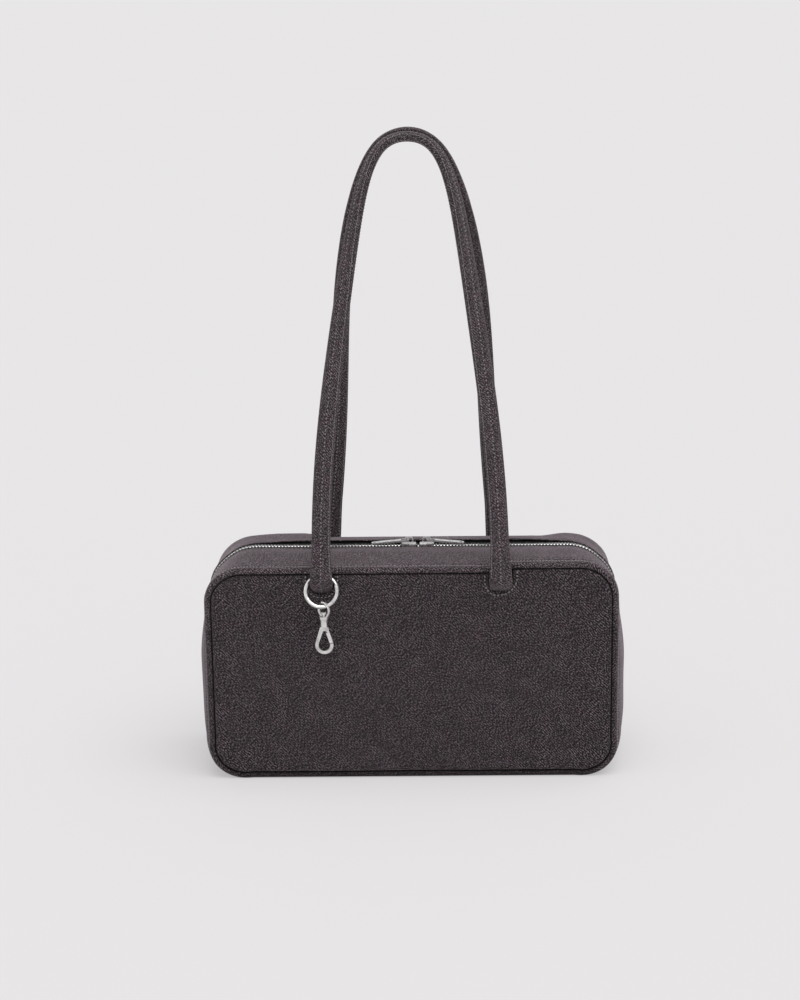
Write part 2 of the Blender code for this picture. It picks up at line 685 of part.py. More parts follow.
def slider(name, nose_x, direction, finish):
    ceiling = CHAIN_LEVEL + TOOTH_HEIGHT / 2 + WING_CLEARANCE
    floor = CHAIN_LEVEL - TOOTH_HEIGHT / 2 - WING_CLEARANCE
    body = slider_half(name, 1, ceiling)
    lower = slider_half(name + "_lower_wing", -1, floor)
    point = DIVIDER_LENGTH / 2
    divider_outline = [(WING / 2, DIVIDER_HALF), (WING / 2, -DIVIDER_HALF), (point, -DIVIDER_HALF),
                       (DIVIDER_LENGTH, 0.0), (point, DIVIDER_HALF)]
    middle = Matrix.Translation((0, 0, (ceiling + floor) / 2))
    divider = flat_plate(name + "_divider", [divider_outline], ceiling - floor + WING, middle)
    foot = WING_TOP - WING / 2
    shoulder = WING_TOP + BRIDGE_OPENING * BRIDGE_SHOULDER
    under = WING_TOP + BRIDGE_OPENING
    over = under + BRIDGE_THICKNESS
    leg = BRIDGE_THICKNESS
    chamfer = BRIDGE_CHAMFER * BRIDGE_THICKNESS
    arch = [(BRIDGE_START, foot), (BRIDGE_START, shoulder), (BRIDGE_START + leg, over),
            (BRIDGE_END - leg, over), (BRIDGE_END, shoulder), (BRIDGE_END, foot),
            (BRIDGE_END - leg, foot), (BRIDGE_END - leg, shoulder), (BRIDGE_END - chamfer, under),
            (BRIDGE_START + chamfer, under), (BRIDGE_START + leg, shoulder), (BRIDGE_START + leg, foot)]
    bridge = flat_plate(name + "_bridge", [arch], BRIDGE_WIDTH, Matrix.Rotation(math.pi / 2, 4, "X"))
    seat = Matrix.Translation((nose_x, 0, SEAM_TOP + TOP_CROWN))
    turn = Matrix.Identity(4) if direction > 0 else Matrix.Rotation(math.pi, 4, "Z")
    for piece in (body, lower, divider, bridge):
        piece.matrix_world = seat @ turn @ piece.matrix_world
    for piece in (lower, divider, bridge):
        boolean(body, piece, "UNION")
    return place(body, finish)


def pull_outlines():
    """The pull's outline, its long eye and its end hole, from its axis at the origin out along +X."""
    end_bar = PULL_THICKNESS / 2
    narrow, wide = PULL_WIDTH * PULL_NECK / 2, PULL_WIDTH / 2
    steps = 6
    shoulder = PULL_LENGTH * PULL_SHOULDER
    outline = [(-end_bar, -narrow), (shoulder, -narrow)]
    for k in range(steps + 1):
        turn = -math.pi / 2 + math.pi * k / steps
        outline.append((PULL_LENGTH - wide + wide * math.cos(turn), wide * math.sin(turn)))
    outline += [(shoulder, narrow), (-end_bar, narrow)]
    half = PULL_EYE_WIDTH / 2
    eye_end = end_bar + PULL_EYE_LENGTH
    eye = [(end_bar, -half), (eye_end, -half), (eye_end, half), (end_bar, half)]
    return [outline, eye, disc(PULL_LENGTH - wide, 0.0, PULL_HOLE / 2, 8)]


def pull(name, axis_x, direction, finish):
    """A pull that slopes down from its axis and rests its end on the chain."""
    height = SEAM_TOP + TOP_CROWN + WING_TOP + PULL_LIFT
    turn = Matrix.Identity(4) if direction > 0 else Matrix.Rotation(math.pi, 4, "Z")
    seat = Matrix.Translation((axis_x, 0, height)) @ turn @ Matrix.Rotation(PULL_SLOPE, 4, "Y")
    return place(flat_plate(name, pull_outlines(), PULL_THICKNESS, seat), finish)


def sliders(metal):
    for label, direction in (("left", -1), ("right", 1)):
        nose = SLIDER_MEET_X + direction * SLIDER_NOSE_GAP / 2
        slider(f"slider_{label}", nose, direction, metal)
        pull(f"slider_{label}_pull", nose + direction * PULL_AXIS, direction, metal)


# Straps


def strap_line(side):
    """The strap's centre line from its left end over the arch to its right end, at even steps."""
    fine = 400
    half_top = side * (STRAP_WIDTH / 2 + FIT / 2)
    rounding = STRAP_ROUND_DROP / (STRAP_TOP - STRAP_HINGE_Z)
    points = []
    for k in range(-fine, fine + 1):
        across = abs(k) / fine
        share = 1 - rounding * across ** 2 - (1 - rounding) * across ** STRAP_LEG_POWER
        sign = -1 if k < 0 else 1
        wider = -side * STRAP_ARCH_DIFFERENCE * math.sin(2 * math.pi * share)
        leaning = side * STRAP_LEAN * math.sin(math.pi * share)
        x = sign * (STRAP_SPREAD * across + wider) + leaning
        y = blend(side * STRAP_BASE_Y, half_top, smooth(share))
        points.append(Vector((x, y, blend(STRAP_HINGE_Z, STRAP_TOP, share))))
    return even_steps(points, STRAP_STEPS)


def even_steps(points, count):
    """Points along a fine line at even distances, which are shorter where the line bends."""
    gone = [0.0]
    for before, here, after in zip(points, points[1:], points[2:] + points[-1:]):
        bend = (here - before).angle(after - here, 0.0)
        gone.append(gone[-1] + (here - before).length + bend * STRAP_BEND_WEIGHT)
    chosen, k = [], 0
    for step in range(count + 1):
        target = gone[-1] * step / count
        while k < len(gone) - 2 and gone[k + 1] < target:
            k += 1
        share = (target - gone[k]) / (gone[k + 1] - gone[k])
        chosen.append(points[k].lerp(points[k + 1], share))
    return chosen


def strap_section(half_width, half_thickness):
    """A tube that is stitched down its middle into two puffs, as (across, through)."""
    sides = 8
    points = []
    for k in range(sides):
        turn = 2 * math.pi * k / sides
        swell = 1 - STRAP_CREASE if k % 4 == 2 else STRAP_PUFF
        points.append((half_width * math.cos(turn), half_thickness * math.sin(turn) * swell))
    return points


def strap_loops(side, shrink):
    """Sections along a strap, which turns from flat at its ends until its outer face is on top of the arch."""
    line = strap_line(side)
    down = Vector((0, 0, -1))
    nose = [line[0] + down * STRAP_NOSE_LENGTH * share for share in (1.0, 0.55)]
    tail = [line[-1] + down * STRAP_NOSE_LENGTH * share for share in (0.55, 1.0)]
    line = nose + line + tail
    slims = [(0.45, 0.45), (0.85, 0.8)] + [(1.0, 1.0)] * (len(line) - 4) + [(0.85, 0.8), (0.45, 0.45)]
    loops = []
    length = (len(line) - 1) / 2
    for k, (centre, (slim, thin)) in enumerate(zip(line, slims)):
        before, after = line[max(k - 1, 0)], line[min(k + 1, len(line) - 1)]
        along = (after - before).normalized()
        depth = (Vector((0, 1, 0)) - along * along.y).normalized()
        flat = depth.cross(along)
        height = min(centre.z - line[0].z, centre.z - line[-1].z)
        share = 1 - abs(k - length) / length
        twist = side * smooth((share - STRAP_TWIST_START) / (1 - STRAP_TWIST_START)) * math.pi / 2
        width = blend(STRAP_BASE_WIDTH, STRAP_WIDTH, smooth(height / STRAP_WIDEN_LENGTH))
        thickness = blend(STRAP_BASE_THICKNESS, STRAP_THICKNESS, smooth(height / STRAP_WIDEN_LENGTH))
        wide = flat * math.cos(twist) + depth * math.sin(twist)
        thick = depth * math.cos(twist) - flat * math.sin(twist)
        section = strap_section(width / 2 * slim - shrink, thickness / 2 * thin - shrink)
        loops.append([centre + wide * across + thick * through for across, through in section])
    return loops


def straps(cloth, filling):
    for which, side in (("front", -1), ("back", 1)):
        outside, inside = strap_loops(side, 0.0), strap_loops(side, SLEEVE_WALL)
        sleeve = tube_loft(f"strap_{which}_sleeve", outside, cloth, inside)
        filler = tube_loft(f"strap_{which}_filler", strap_loops(side, SLEEVE_WALL + FIT)[1:-1], filling)
        for piece in (sleeve, filler):
            move_origin(piece, (0, side * STRAP_HINGE_Y, STRAP_HINGE_Z))


def strap_ends(cloth):
    """The flattened ends of the straps: a tab behind the panel, and a tongue that fills the notch's foot."""
    tab = notch_outline(TAB_WIDTH, STRAP_END_Z - TAB_MARGIN, SEAM_TOP - FIT)
    tongue = notch_outline(NOTCH_WIDTH - 2 * FIT, STRAP_END_Z + FIT, STRAP_END_Z + TONGUE_HEIGHT)
    depth = HALF_DEPTH - TAB_FACE + TAB / 2
    for which, side in (("front", -1), ("back", 1)):
        for label, strap_x in (("left", -STRAP_SPREAD), ("right", STRAP_SPREAD)):
            name = f"strap_end_{which}_{label}"
            end = flat_plate(name, [tab], TAB, upright_at(strap_x, side * (TAB_FACE - TAB / 2)))
            tongue_at = upright_at(strap_x, side * (HALF_DEPTH - depth / 2))
            boolean(end, flat_plate(name + "_tongue", [tongue], depth, tongue_at), "UNION")
            place(end, cloth)


# Ring and clip


def ring_frame():
    """The ring's top, the way down along its plane, and its lowest wire."""
    top = Vector((-STRAP_SPREAD, -RING_WIRE_Y, RING_TOP_Z))
    down = Vector((0, -math.sin(RING_TILT), -math.cos(RING_TILT)))
    return top, down, top + down * 2 * RING_RADIUS


def ring(metal):
    top, down, _ = ring_frame()
    bpy.ops.mesh.primitive_torus_add(major_radius=RING_RADIUS, minor_radius=RING_WIRE / 2,
                                     major_segments=28, minor_segments=8)
    hoop = bpy.context.object
    hoop.name = "ring"
    stand = Matrix.Rotation(math.pi / 2 - RING_TILT, 4, "X")
    hoop.matrix_world = Matrix.Translation(top + down * RING_RADIUS) @ stand
    bpy.context.view_layer.update()
    hoop.data.shade_smooth()
    move_origin(hoop, top)
    return place(hoop, metal)


def clip_levels():
    """Heights down the clip, from the ring's lowest wire."""
    hang = ring_frame()[2] + Vector((CLIP_OFFSET, 0, 0))
    eye_top = RING_WIRE / 2 + EYE_WIRE / 2 + EYE_SLACK
    eye_middle = eye_top - EYE_HALF_HEIGHT
    collar_top = eye_middle - EYE_HALF_HEIGHT + EYE_WIRE * 0.3
    collar_bottom = collar_top - COLLAR_HEIGHT
    neck_top = collar_bottom - FIT
    neck_bottom = neck_top - NECK_LENGTH
    hook_bottom = neck_bottom - HOOK_LENGTH
    return hang, eye_middle, collar_top, collar_bottom, neck_top, neck_bottom, hook_bottom


def clip_eye(metal):
    """The swivel's loop on its collar, bored for the hook's stem."""
    hang, eye_middle, collar_top, collar_bottom, *_ = clip_levels()
    curve = bpy.data.curves.new("clip_eye", "CURVE")
    curve.dimensions = "3D"
    curve.bevel_depth = EYE_WIRE / 2
    curve.bevel_resolution = 1
    spline = curve.splines.new("POLY")
    count = 20
    spline.points.add(count - 1)
    for k, point in enumerate(spline.points):
        turn = 2 * math.pi * k / count
        point.co = (EYE_HALF_WIDTH * math.cos(turn), 0, eye_middle + EYE_HALF_HEIGHT * math.sin(turn), 1)
    spline.use_cyclic_u = True
    loop_curve = bpy.data.objects.new("clip_eye", curve)
    bpy.context.scene.collection.objects.link(loop_curve)
    loop_curve.matrix_world = Matrix.Translation(hang) @ Matrix.Rotation(EYE_YAW, 4, "Z")
    loop = mesh_from_curve(loop_curve)
    bore_bottom, bore_top = collar_bottom - EYE_WIRE, eye_middle - EYE_HALF_HEIGHT / 2
    collar = upright_bar("clip_eye_collar", hang, collar_bottom, collar_top, COLLAR_RADIUS, 16)
    bore = upright_bar("clip_eye_bore", hang, bore_bottom, bore_top, STEM_RADIUS + STEM_CLEARANCE, 12)
    boolean(loop, collar, "UNION")
    boolean(loop, bore, "DIFFERENCE")
    bpy.context.view_layer.update()
    return place(loop, metal)


def teardrop(top_half, top, radius, centre, steps=12):
    """A drop shape: straight flanks from a narrow top that run into a round foot."""
    reach = math.hypot(top_half, top - centre)
    start = math.atan2(top - centre, top_half) - math.acos(radius / reach)
    sweep = math.pi + 2 * start
    points = [(top_half, top)]
    for k in range(steps + 1):
        turn = start - sweep * k / steps
        points.append((radius * math.cos(turn), centre + radius * math.sin(turn)))
    points.append((-top_half, top))
    return points


def disc(x, z, radius, sides=12):
    return [(x + radius * math.cos(2 * math.pi * k / sides), z + radius * math.sin(2 * math.pi * k / sides))
            for k in range(sides)]


def clip_hook_and_gate(metal):
    """The hook's round stem, neck and drop-shaped body, and the gate that closes its right side."""
    hang, _, _, collar_bottom, neck_top, neck_bottom, hook_bottom = clip_levels()
    centre = hook_bottom + HOOK_RADIUS
    inner_top = neck_bottom - HOOK_LEG
    outer = teardrop(NECK_BOTTOM_RADIUS, neck_bottom + HOOK_LEG / 4, HOOK_RADIUS, centre)
    inner = teardrop(HOOK_LEG * 0.3, inner_top, HOOK_RADIUS - HOOK_LEG, centre)
    upright = Matrix.Translation(hang) @ Matrix.Rotation(math.pi / 2, 4, "X")
    pivot_x = NECK_BOTTOM_RADIUS - GATE_HUB * 0.45
    pivot_z = neck_bottom - GATE_HUB
    tip_z = neck_bottom - GATE_LENGTH
    slant = HOOK_LEG * 0.4
    reach = HOOK_RADIUS * 1.5
    gap = GATE_CLEARANCE

    def gate_region(grow):
        """The right leg below the hub, down to a slanting end that the hook's nose laps from outside."""
        middle = HOOK_LEG * 0.2 - grow
        top = pivot_z - GATE_HUB * 0.6 + grow
        lap = grow * GATE_LAP
        return [(middle, top), (reach, top), (reach, tip_z + slant - lap), (middle, tip_z - slant * 2 - lap)]

    # Hook
    hook = flat_plate("clip_hook", [outer, inner], HOOK_THICKNESS, upright)
    away = flat_plate("clip_hook_gate_gap", [gate_region(gap)], HOOK_THICKNESS * 2, upright)
    slot = flat_plate("clip_hook_slot", [disc(pivot_x, pivot_z, GATE_HUB + 3 * gap)], GATE_SLOT, upright)
    neck = upright_bar("clip_hook_neck", hang, neck_bottom - FIT, neck_top, NECK_TOP_RADIUS, 16)
    for vertex in neck.data.vertices:
        if vertex.co.z < hang.z + (neck_top + neck_bottom) / 2:
            vertex.co.x = hang.x + (vertex.co.x - hang.x) * NECK_BOTTOM_RADIUS / NECK_TOP_RADIUS
    head = collar_bottom + COLLAR_HEIGHT + EYE_WIRE
    stem = upright_bar("clip_hook_stem", hang, neck_top - NECK_LENGTH / 4, head, STEM_RADIUS, 10)
    rivet = upright_bar("clip_hook_rivet", hang, head - FIT, head + RIVET_HEIGHT, RIVET_RADIUS, 12)
    pivot = hang + Vector((pivot_x, 0, pivot_z))
    through = Vector((0, HOOK_THICKNESS, 0))
    bore = GATE_PIN + GATE_PIN_CLEARANCE
    pin_hole = round_bar("clip_hook_pin_hole", pivot - through, pivot + through, bore, 10)
    for piece in (neck, stem, rivet):
        boolean(hook, piece, "UNION")
    for piece in (away, slot, pin_hole):
        boolean(hook, piece, "DIFFERENCE")
    place(hook, metal)

    # Gate
    gate = flat_plate("clip_gate", [outer, inner], GATE_THICKNESS, upright)
    keep = flat_plate("clip_gate_leg", [gate_region(0.0)], GATE_THICKNESS * 2, upright)
    relief_outline = disc(pivot_x, pivot_z, GATE_HUB + 4 * gap)
    relief = flat_plate("clip_gate_relief", [relief_outline], GATE_THICKNESS * 2, upright)
    leg_x = pivot_x + HOOK_LEG * 0.45
    leg_z = pivot_z - GATE_HUB * 2
    tongue_outline = disc(pivot_x, pivot_z, GATE_HUB)
    tongue = flat_plate("clip_gate_tongue", [tongue_outline], GATE_SLOT - 2 * gap, upright)
    link_outline = [(pivot_x - GATE_HUB * 0.5, pivot_z), (pivot_x + GATE_HUB * 0.85, pivot_z),
                    (leg_x + HOOK_LEG * 0.3, leg_z), (leg_x - HOOK_LEG * 0.35, leg_z)]
    link = flat_plate("clip_gate_link", [link_outline], GATE_SLOT - 2.2 * gap, upright)
    hub_hole = round_bar("clip_gate_pin_hole", pivot - through, pivot + through, bore, 10)
    boolean(gate, keep, "INTERSECT")
    boolean(gate, relief, "DIFFERENCE")
    boolean(gate, tongue, "UNION")
    boolean(gate, link, "UNION")
    boolean(gate, hub_hole, "DIFFERENCE")
    place(gate, metal)

    pin = round_bar("clip_gate_pin", pivot - through / 2, pivot + through / 2, GATE_PIN, 8)
    place(pin, metal)


def build():
    clear_scene()
    cloth = material("grey_cloth", (0.052, 0.044, 0.048), 0.95)
    lining = material("lining_cloth", (0.020, 0.019, 0.021), 0.85)
    foam = material("foam", (0.75, 0.74, 0.70), 1.0)
    board = material("base_board", (0.35, 0.28, 0.20), 0.9)
    tape = material("zip_tape", (0.022, 0.020, 0.022), 0.9)
    filling = material("strap_filling", (0.80, 0.79, 0.76), 1.0)
    metal = material("silver_metal", (0.80, 0.80, 0.81), 0.22, 1.0)
    panels(cloth)
    gussets(cloth, lining)
    stiffeners(foam, board, lining)
    for which, side in (("front", -1), ("back", 1)):
        zip_tape(f"zip_tape_{which}", side, tape)
        zip_teeth(f"zip_teeth_{which}", side, metal)
    sliders(metal)
    straps(cloth, filling)
    strap_ends(cloth)
    ring(metal)
    clip_eye(metal)
    clip_hook_and_gate(metal)


build()
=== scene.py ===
"""The looks of a washed-twill bowler bag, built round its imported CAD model.

Metres, +Z up, -Y is the front. The body's formulas are the CAD source's own, drawn finer.
"""

import math

import bpy
import numpy as np
from mathutils import Matrix, Vector, noise


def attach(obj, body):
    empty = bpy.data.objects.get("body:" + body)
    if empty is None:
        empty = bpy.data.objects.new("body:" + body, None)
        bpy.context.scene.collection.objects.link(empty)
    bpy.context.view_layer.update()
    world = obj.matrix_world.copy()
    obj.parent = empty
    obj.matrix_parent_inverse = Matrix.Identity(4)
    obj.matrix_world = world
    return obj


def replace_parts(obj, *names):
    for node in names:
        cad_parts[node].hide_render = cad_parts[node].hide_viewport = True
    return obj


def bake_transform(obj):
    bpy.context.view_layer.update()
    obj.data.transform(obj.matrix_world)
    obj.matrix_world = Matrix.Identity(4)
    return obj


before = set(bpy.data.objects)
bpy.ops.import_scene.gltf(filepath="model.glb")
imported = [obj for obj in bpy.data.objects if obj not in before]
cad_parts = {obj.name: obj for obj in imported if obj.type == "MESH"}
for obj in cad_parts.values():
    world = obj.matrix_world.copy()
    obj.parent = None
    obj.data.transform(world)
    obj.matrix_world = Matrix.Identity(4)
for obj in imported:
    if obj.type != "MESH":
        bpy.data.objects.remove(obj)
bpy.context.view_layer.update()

MM = 0.001
SIDES = (("front", -1), ("back", 1))
SEEDS_APART = 7.31
RIPPLE_GAIN = 1.6

# Body, as in the CAD source
FIT = 0.0003
BAG_WIDTH = 0.305
BAG_HEIGHT = 0.163
BAG_DEPTH = 0.100
TOP_CORNER = 0.025
BOTTOM_CORNER = 0.028
PANEL_BULGE = 0.0018
SEAM_LIFT = 0.003
WELT = 0.0036
TOP_CROWN = 0.0075
SIDE_CROWN = 0.0125
SIDE_RISE_START = 0.0155
SIDE_RISE = 0.0800
SIDE_FALL_START = 0.0140
CROWN_FULLNESS = 0.8
SIDE_ZIP_LENGTH = 0.020
CLOTH = 0.0015
TAB = 0.0010
FOAM = 0.0030
SIDE_FOAM = 0.0020
LINING = 0.0008
TAPE = 0.0005
PANEL_INSET = 0.0010
FOAM_END_GAP = 0.004

# Zip, as in the CAD source
ZIP_MOUTH = 0.0106
TOOTH_PITCH = 0.0025
TOOTH_HEIGHT = 0.0026
TOOTH_ROOT = 0.0020
TOOTH_TIP = 0.0004
BEAD = 0.0006
TAPE_WIDTH = 0.0110
LINING_FROM_ZIP = 0.0090
CHAIN_PARTING = 0.0013
SLIDER_MEET_X = 0.0045
SLIDER_NOSE_GAP = 0.0030
SLIDER_LENGTH = 0.0110
WING = 0.0010
WING_CLEARANCE = 0.00025
DIVIDER_LENGTH = 0.0035

# Straps and the ring's wire, as in the CAD source
STRAP_SPREAD = 0.0675
STRAP_TOP = 0.4855
STRAP_ROUND_DROP = 0.070
STRAP_LEG_POWER = 4
STRAP_LEANS = {-1: -0.0006, 1: 0.0013}
STRAP_TOPS = {-1: 0.4855, 1: 0.4873}
STRAP_BASE_WIDTH = 0.0175
STRAP_WIDTH = 0.0140
STRAP_BASE_THICKNESS = 0.0084
STRAP_THICKNESS = 0.0080
STRAP_STEPS = 30
STRAP_NOSE_STEPS = 2
STRAP_BEND_WEIGHT = 0.1
STRAP_WIDEN_LENGTH = 0.045
STRAP_TWIST_START = 0.2
STRAP_HINGE_DROP = 0.014
STRAP_END_DROP = 0.017
STRAP_ARCH_DIFFERENCE = 0.0022
NOTCH_WIDTH = 0.0188
NOTCH_ROUNDNESS = 0.9
RING_WIRE = 0.0032
RING_SEAT = 0.0006

# Places worked out from the sizes above
HALF_WIDTH = BAG_WIDTH / 2
HALF_DEPTH = BAG_DEPTH / 2
SEAM_TOP = SEAM_LIFT + BAG_HEIGHT
PANEL_MIDDLE = SEAM_LIFT + BAG_HEIGHT / 2
TOP_RUN = HALF_WIDTH - TOP_CORNER
TOP_ARC = TOP_CORNER * math.pi / 2
SIDE_RUN = BAG_HEIGHT - TOP_CORNER - BOTTOM_CORNER
SIDE_END = TOP_RUN + TOP_ARC + SIDE_RUN
BOTTOM_ARC = BOTTOM_CORNER * math.pi / 2
HALF_RUN = SIDE_END + BOTTOM_ARC + HALF_WIDTH - BOTTOM_CORNER
ZIP_END = TOP_RUN + TOP_ARC + SIDE_ZIP_LENGTH
ZIP_HALF = ZIP_MOUTH / 2
CHAIN_HALF = TOOTH_ROOT + BEAD
CHAIN_LEVEL = -CLOTH - FIT - TAPE / 2
TAB_FACE = HALF_DEPTH - CLOTH - FIT
FOAM_FACE = TAB_FACE - TAB - FIT
LINING_FACE = FOAM_FACE - FOAM - FIT
CAVITY_HALF = LINING_FACE - LINING - FIT
INSIDE = HALF_DEPTH - WELT
NOTCH_HALF = NOTCH_WIDTH / 2
NOTCH_RADIUS = NOTCH_HALF * NOTCH_ROUNDNESS
STRAP_HINGE_Z = SEAM_TOP - STRAP_HINGE_DROP
STRAP_END_Z = SEAM_TOP - STRAP_END_DROP
RING_WIRE_Y = TAB_FACE + RING_SEAT + RING_WIRE / 2
STRAP_BASE_Y = RING_WIRE_Y + RING_WIRE / 2 + RING_SEAT + STRAP_BASE_THICKNESS / 2

# Where the cloth lies off the CAD shape: the top's longer fall, and what filling, weight and use have moved
TOP_FALL_START = 0.0078
TOP_FALL = 0.0270
BACK_SAG = 0.0033
BACK_SAG_AT = 0.018
BACK_SAG_HALF = 0.106
BACK_SAG_EASE = 0.024
BACK_SAG_REACH = 0.014
CORNER_TUCK = 0.0029
TUCK_RUN = 0.1440
TUCK_REACH = 0.0230
TUCK_DEPTH = 0.028
TUCK_FORWARD = 0.003
TUCK_EASE = 0.040
FRONT_RISE = 0.0032
FRONT_RISE_FROM = 0.058
FRONT_RISE_EASE = 0.021
FRONT_RISE_TALL = 0.055
FRONT_RISE_DEEP = 0.040
BOTTOM_FULL = 0.0024
SEAM_PUSH = 0.0014
PUSH_FROM = 0.122
PUSH_CLEAR = 0.018

# Panels: the roll beside the seam and the strap slots, puckers and waves
PANEL_EDGE = 0.0024
PANEL_ROLL = 0.0015
PANEL_ROLL_DEPTH = 0.0029
PANEL_EASE = 0.004
SLOT_ROLL = 0.0010
SLOT_DEPTH = 0.0030
SLOT_EASE = 0.6 * MM
PUCKER = 0.00028
PUCKER_REACH = 0.006
PUCKER_PITCH = 0.0065
SEAM_PUCKER_STRETCH = 0.4
SLOT_PUCKER_STRETCH = 0.5
GUSSET_PUCKER_STRETCH = 0.3
PANEL_TALLER = 1.6
PANEL_ROUND = 0.11
WAVE = 0.00040
WAVE_LENGTH = 0.045
SMALL_WAVE = 0.3
PANEL_SEEDS = {-1: 1, 1: 11}
PANEL_STRAIGHT = 0.118
PANEL_EDGE_COLUMNS = 16
EDGE_STEPS = tuple(step * MM for step in (0, 1.2, 2.2, 2.42, 2.5, 2.6, 2.75, 2.95, 3.2, 3.5, 3.9, 4.6))
SLOT_BESIDE = 3.2 * MM
SLOT_BELOW = 4 * MM
FINE = 0.4 * MM
COARSE = 1.7 * MM

# Painted shade: how dark the cloth's colour is painted in seams and slots, under the bag, on the straps' feet
# and where the straps touch
SHADE_REACH = 0.0007
SHADE_EASE = 0.0007
SLOT_SHADE_REACH = 0.0001
SLOT_SHADE_WIDTH = 0.0014
SLOT_FLOOR_LIT = 0.6
WELT_SHADE_FROM = -0.42
WELT_SHADE_EASE = 0.3
UNDER_SHADE = 0.55
FLOOR_EASE = 0.03
FOOT_SHADE = 0.5
TOUCH_REACH = 0.0026

# Gusset: its welts, the dip under its stitches, its folded ends, and the lips beside the zip
WELT_CENTRE = 0.0002
WELT_TALL = 0.0028
WELT_TURNS = np.radians(np.linspace(-62, 90, 14))
GUSSET_WAVE_LENGTH = WAVE_LENGTH * 0.8
GUSSET_STEP = 1.5 * MM
GUSSET_EASE = 0.006
TOPSTITCH_Y = 0.0452
TOPSTITCH_DIP = 0.00035
TOPSTITCH_HALF = 0.0009
DIP_HALF = 0.0016
DIP_COLUMNS = 7
FOLD_STEPS = (0.0, 0.0001, 0.0003, 0.0006, 0.001, 0.0016)
MOUTH_ROLL = 0.00045
MOUTH_TURNS = np.radians(np.linspace(0, 150, 7))
UNDER_LIP = 0.0002
LIPS = {-1: -0.0013, 1: 0.0016}
LIP_REACH = 0.016
LIP_FADE_STARTS = {-1: 0.172, 1: 0.085}
LIP_FADE_LENGTHS = {-1: 0.012, 1: 0.042}
CLOSE_START = 0.1190
CLOSE_LENGTH = 0.0150
MOUTH_CLOSES = {-1: 0.0, 1: 0.0021}
STRIP_SEEDS = {-1: 21, 1: 31}
LOWER_SEED = 41

# Layers inside: foam that thins out at the panel's edge, and slack linings
FOAM_EDGE = 0.0240
FOAM_EDGE_THINNER = 0.0009
LINING_SAG = 0.0006
SAG_LENGTH = 0.05
SAG_EASE = 0.02
SAG_SEED = 51
LAYER_STEP = 4 * MM
LAYER_SHARP = 50

# Zip: a tape from its corded edge outward, with the cord's fullness
CORD_TALL = 0.0008
TAPE_STEPS = np.array([-BEAD, -BEAD * 0.6, -BEAD * 0.2, 0.0, BEAD * 0.2, BEAD * 0.4,
                       0.0015, 0.003, 0.006, TAPE_WIDTH])
CORD_SHARES = np.array([0.5, 1.0, 1.0, 0.8, 0.4, 0.1, 0.0, 0.0, 0.0, 0.0])
TAPE_LEVEL = 0.006
TOOTH_SHARP = 35

# Stitches
STITCH = 0.0024
STITCH_GAP = 0.0006
THREAD = 0.00030
THREAD_SIDES = 6
THREAD_STATIONS = 7
THREAD_END = 0.55
THREAD_ARCH = 1.5
THREAD_SUNK = 0.9
ROW_END = 0.002
SLOT_STITCH_OUT = 0.0027
SLOT_STITCH = 0.0029
SLOT_STITCH_GAP = 0.0011
SLOT_THREAD = 0.00042
SLOT_STITCH_DROP = 2.6 * MM
STRAP_STITCH = 0.0030
STRAP_STITCH_GAP = 0.0013
STRAP_THREAD = 0.00044
EDGE_STITCH_ACROSS = 0.84
EDGE_STITCH_THROUGH = 0.56
EDGE_STITCH_GAP = 0.0005
EDGE_THREAD = 0.00020

# Straps: the crease between their two puffs, their lumps, their filling, and where they bend at their hinges
CREASE_DEPTH = 0.26
CREASE_HALF_TURN = math.radians(11)
LUMP = 0.025
LUMP_LENGTH = 0.012
LUMP_ROUND = 0.01
LUMP_SEED = 60
STRAP_SIDES = 28
WADDING_SHARE = 0.74
LINE_POINTS = 1600

# The sewn foot of a strap, from the slot's bottom up: height, half width, and how far out its two faces are
FOOT_MARKS = np.array([-0.5, 0.0, 0.7, 1.6, 2.8, 4.2, 6.0, 8.0, 10.0, 12.5]) * MM
FOOT_WIDTHS = np.array([1.4, 3.0, 4.7, 5.9, 6.9, 7.7, 8.25, 8.55, 8.7, 8.75]) * MM
FOOT_FRONTS = np.array([48.4, 48.9, 49.6, 50.6, 52.2, 54.4, 57.0, 59.0, 60.4, 61.0]) * MM
FOOT_BACKS = np.array([47.6, 47.6, 47.7, 47.9, 48.6, 49.6, 51.0, 52.0, 52.6, 52.6]) * MM
FOOT_THROUGH = 0.95

# Twill: its diagonals run down to the right
DIAGONAL = 0.7071
TWILL_PITCH = 0.00155
FLECK = 0.00068
# Painted shade: the share of the cloth's colour that is left where its shade attribute is full
SEAM_PAINTED_SHADE = 0.15
PEPPER = (0.0040, 0.0029, 0.0034)
WARP = (0.0430, 0.0318, 0.0370)
WARP_GREY = (0.0375, 0.0352, 0.0350)
SALT = (0.2300, 0.1850, 0.2050)

# Stage
FLOOR_REACH = 40.0
FLOOR_GLOW = (0.807, 0.791, 0.800, 1.0)
FLOOR_GLOW_SHARE = 0.5
STUDIO_COLOUR = (0.985, 0.985, 1.0, 1.0)
STUDIO_LIGHT = 0.42
STUDIO_SEEN = 0.80
KEY = {"strength": 1.75, "soft": 60, "elevation": 72, "azimuth": 50}
FILL = {"strength": 0.30, "soft": 90, "elevation": 40, "azimuth": -40}
LENS = 74.9
SENSOR = 36.0
CAMERA_DISTANCE = 1.6
CAMERA_PITCH = math.radians(15)
CAMERA_ROLL = math.radians(-0.43)
CAMERA_ASIDE = 0.0385
CAMERA_TARGET = (-0.0088, 0.0, 0.208)


def smooth(value):
    """Ease from 0 to 1 with level ends."""
    value = np.clip(value, 0.0, 1.0)
    return value * value * (3 - 2 * value)


def blend(start, end, share):
    return start + (end - start) * share


def ripple(x, y, size, seed):
    """Soft noise from -1 to 1 over a pair of coordinates, with one wave about every size."""
    flat = np.stack([np.ravel(x), np.ravel(y)], axis=1) / size
    values = [noise.noise((a, b, seed * SEEDS_APART)) for a, b in flat]
    return np.array(values).reshape(np.shape(x)) * RIPPLE_GAIN


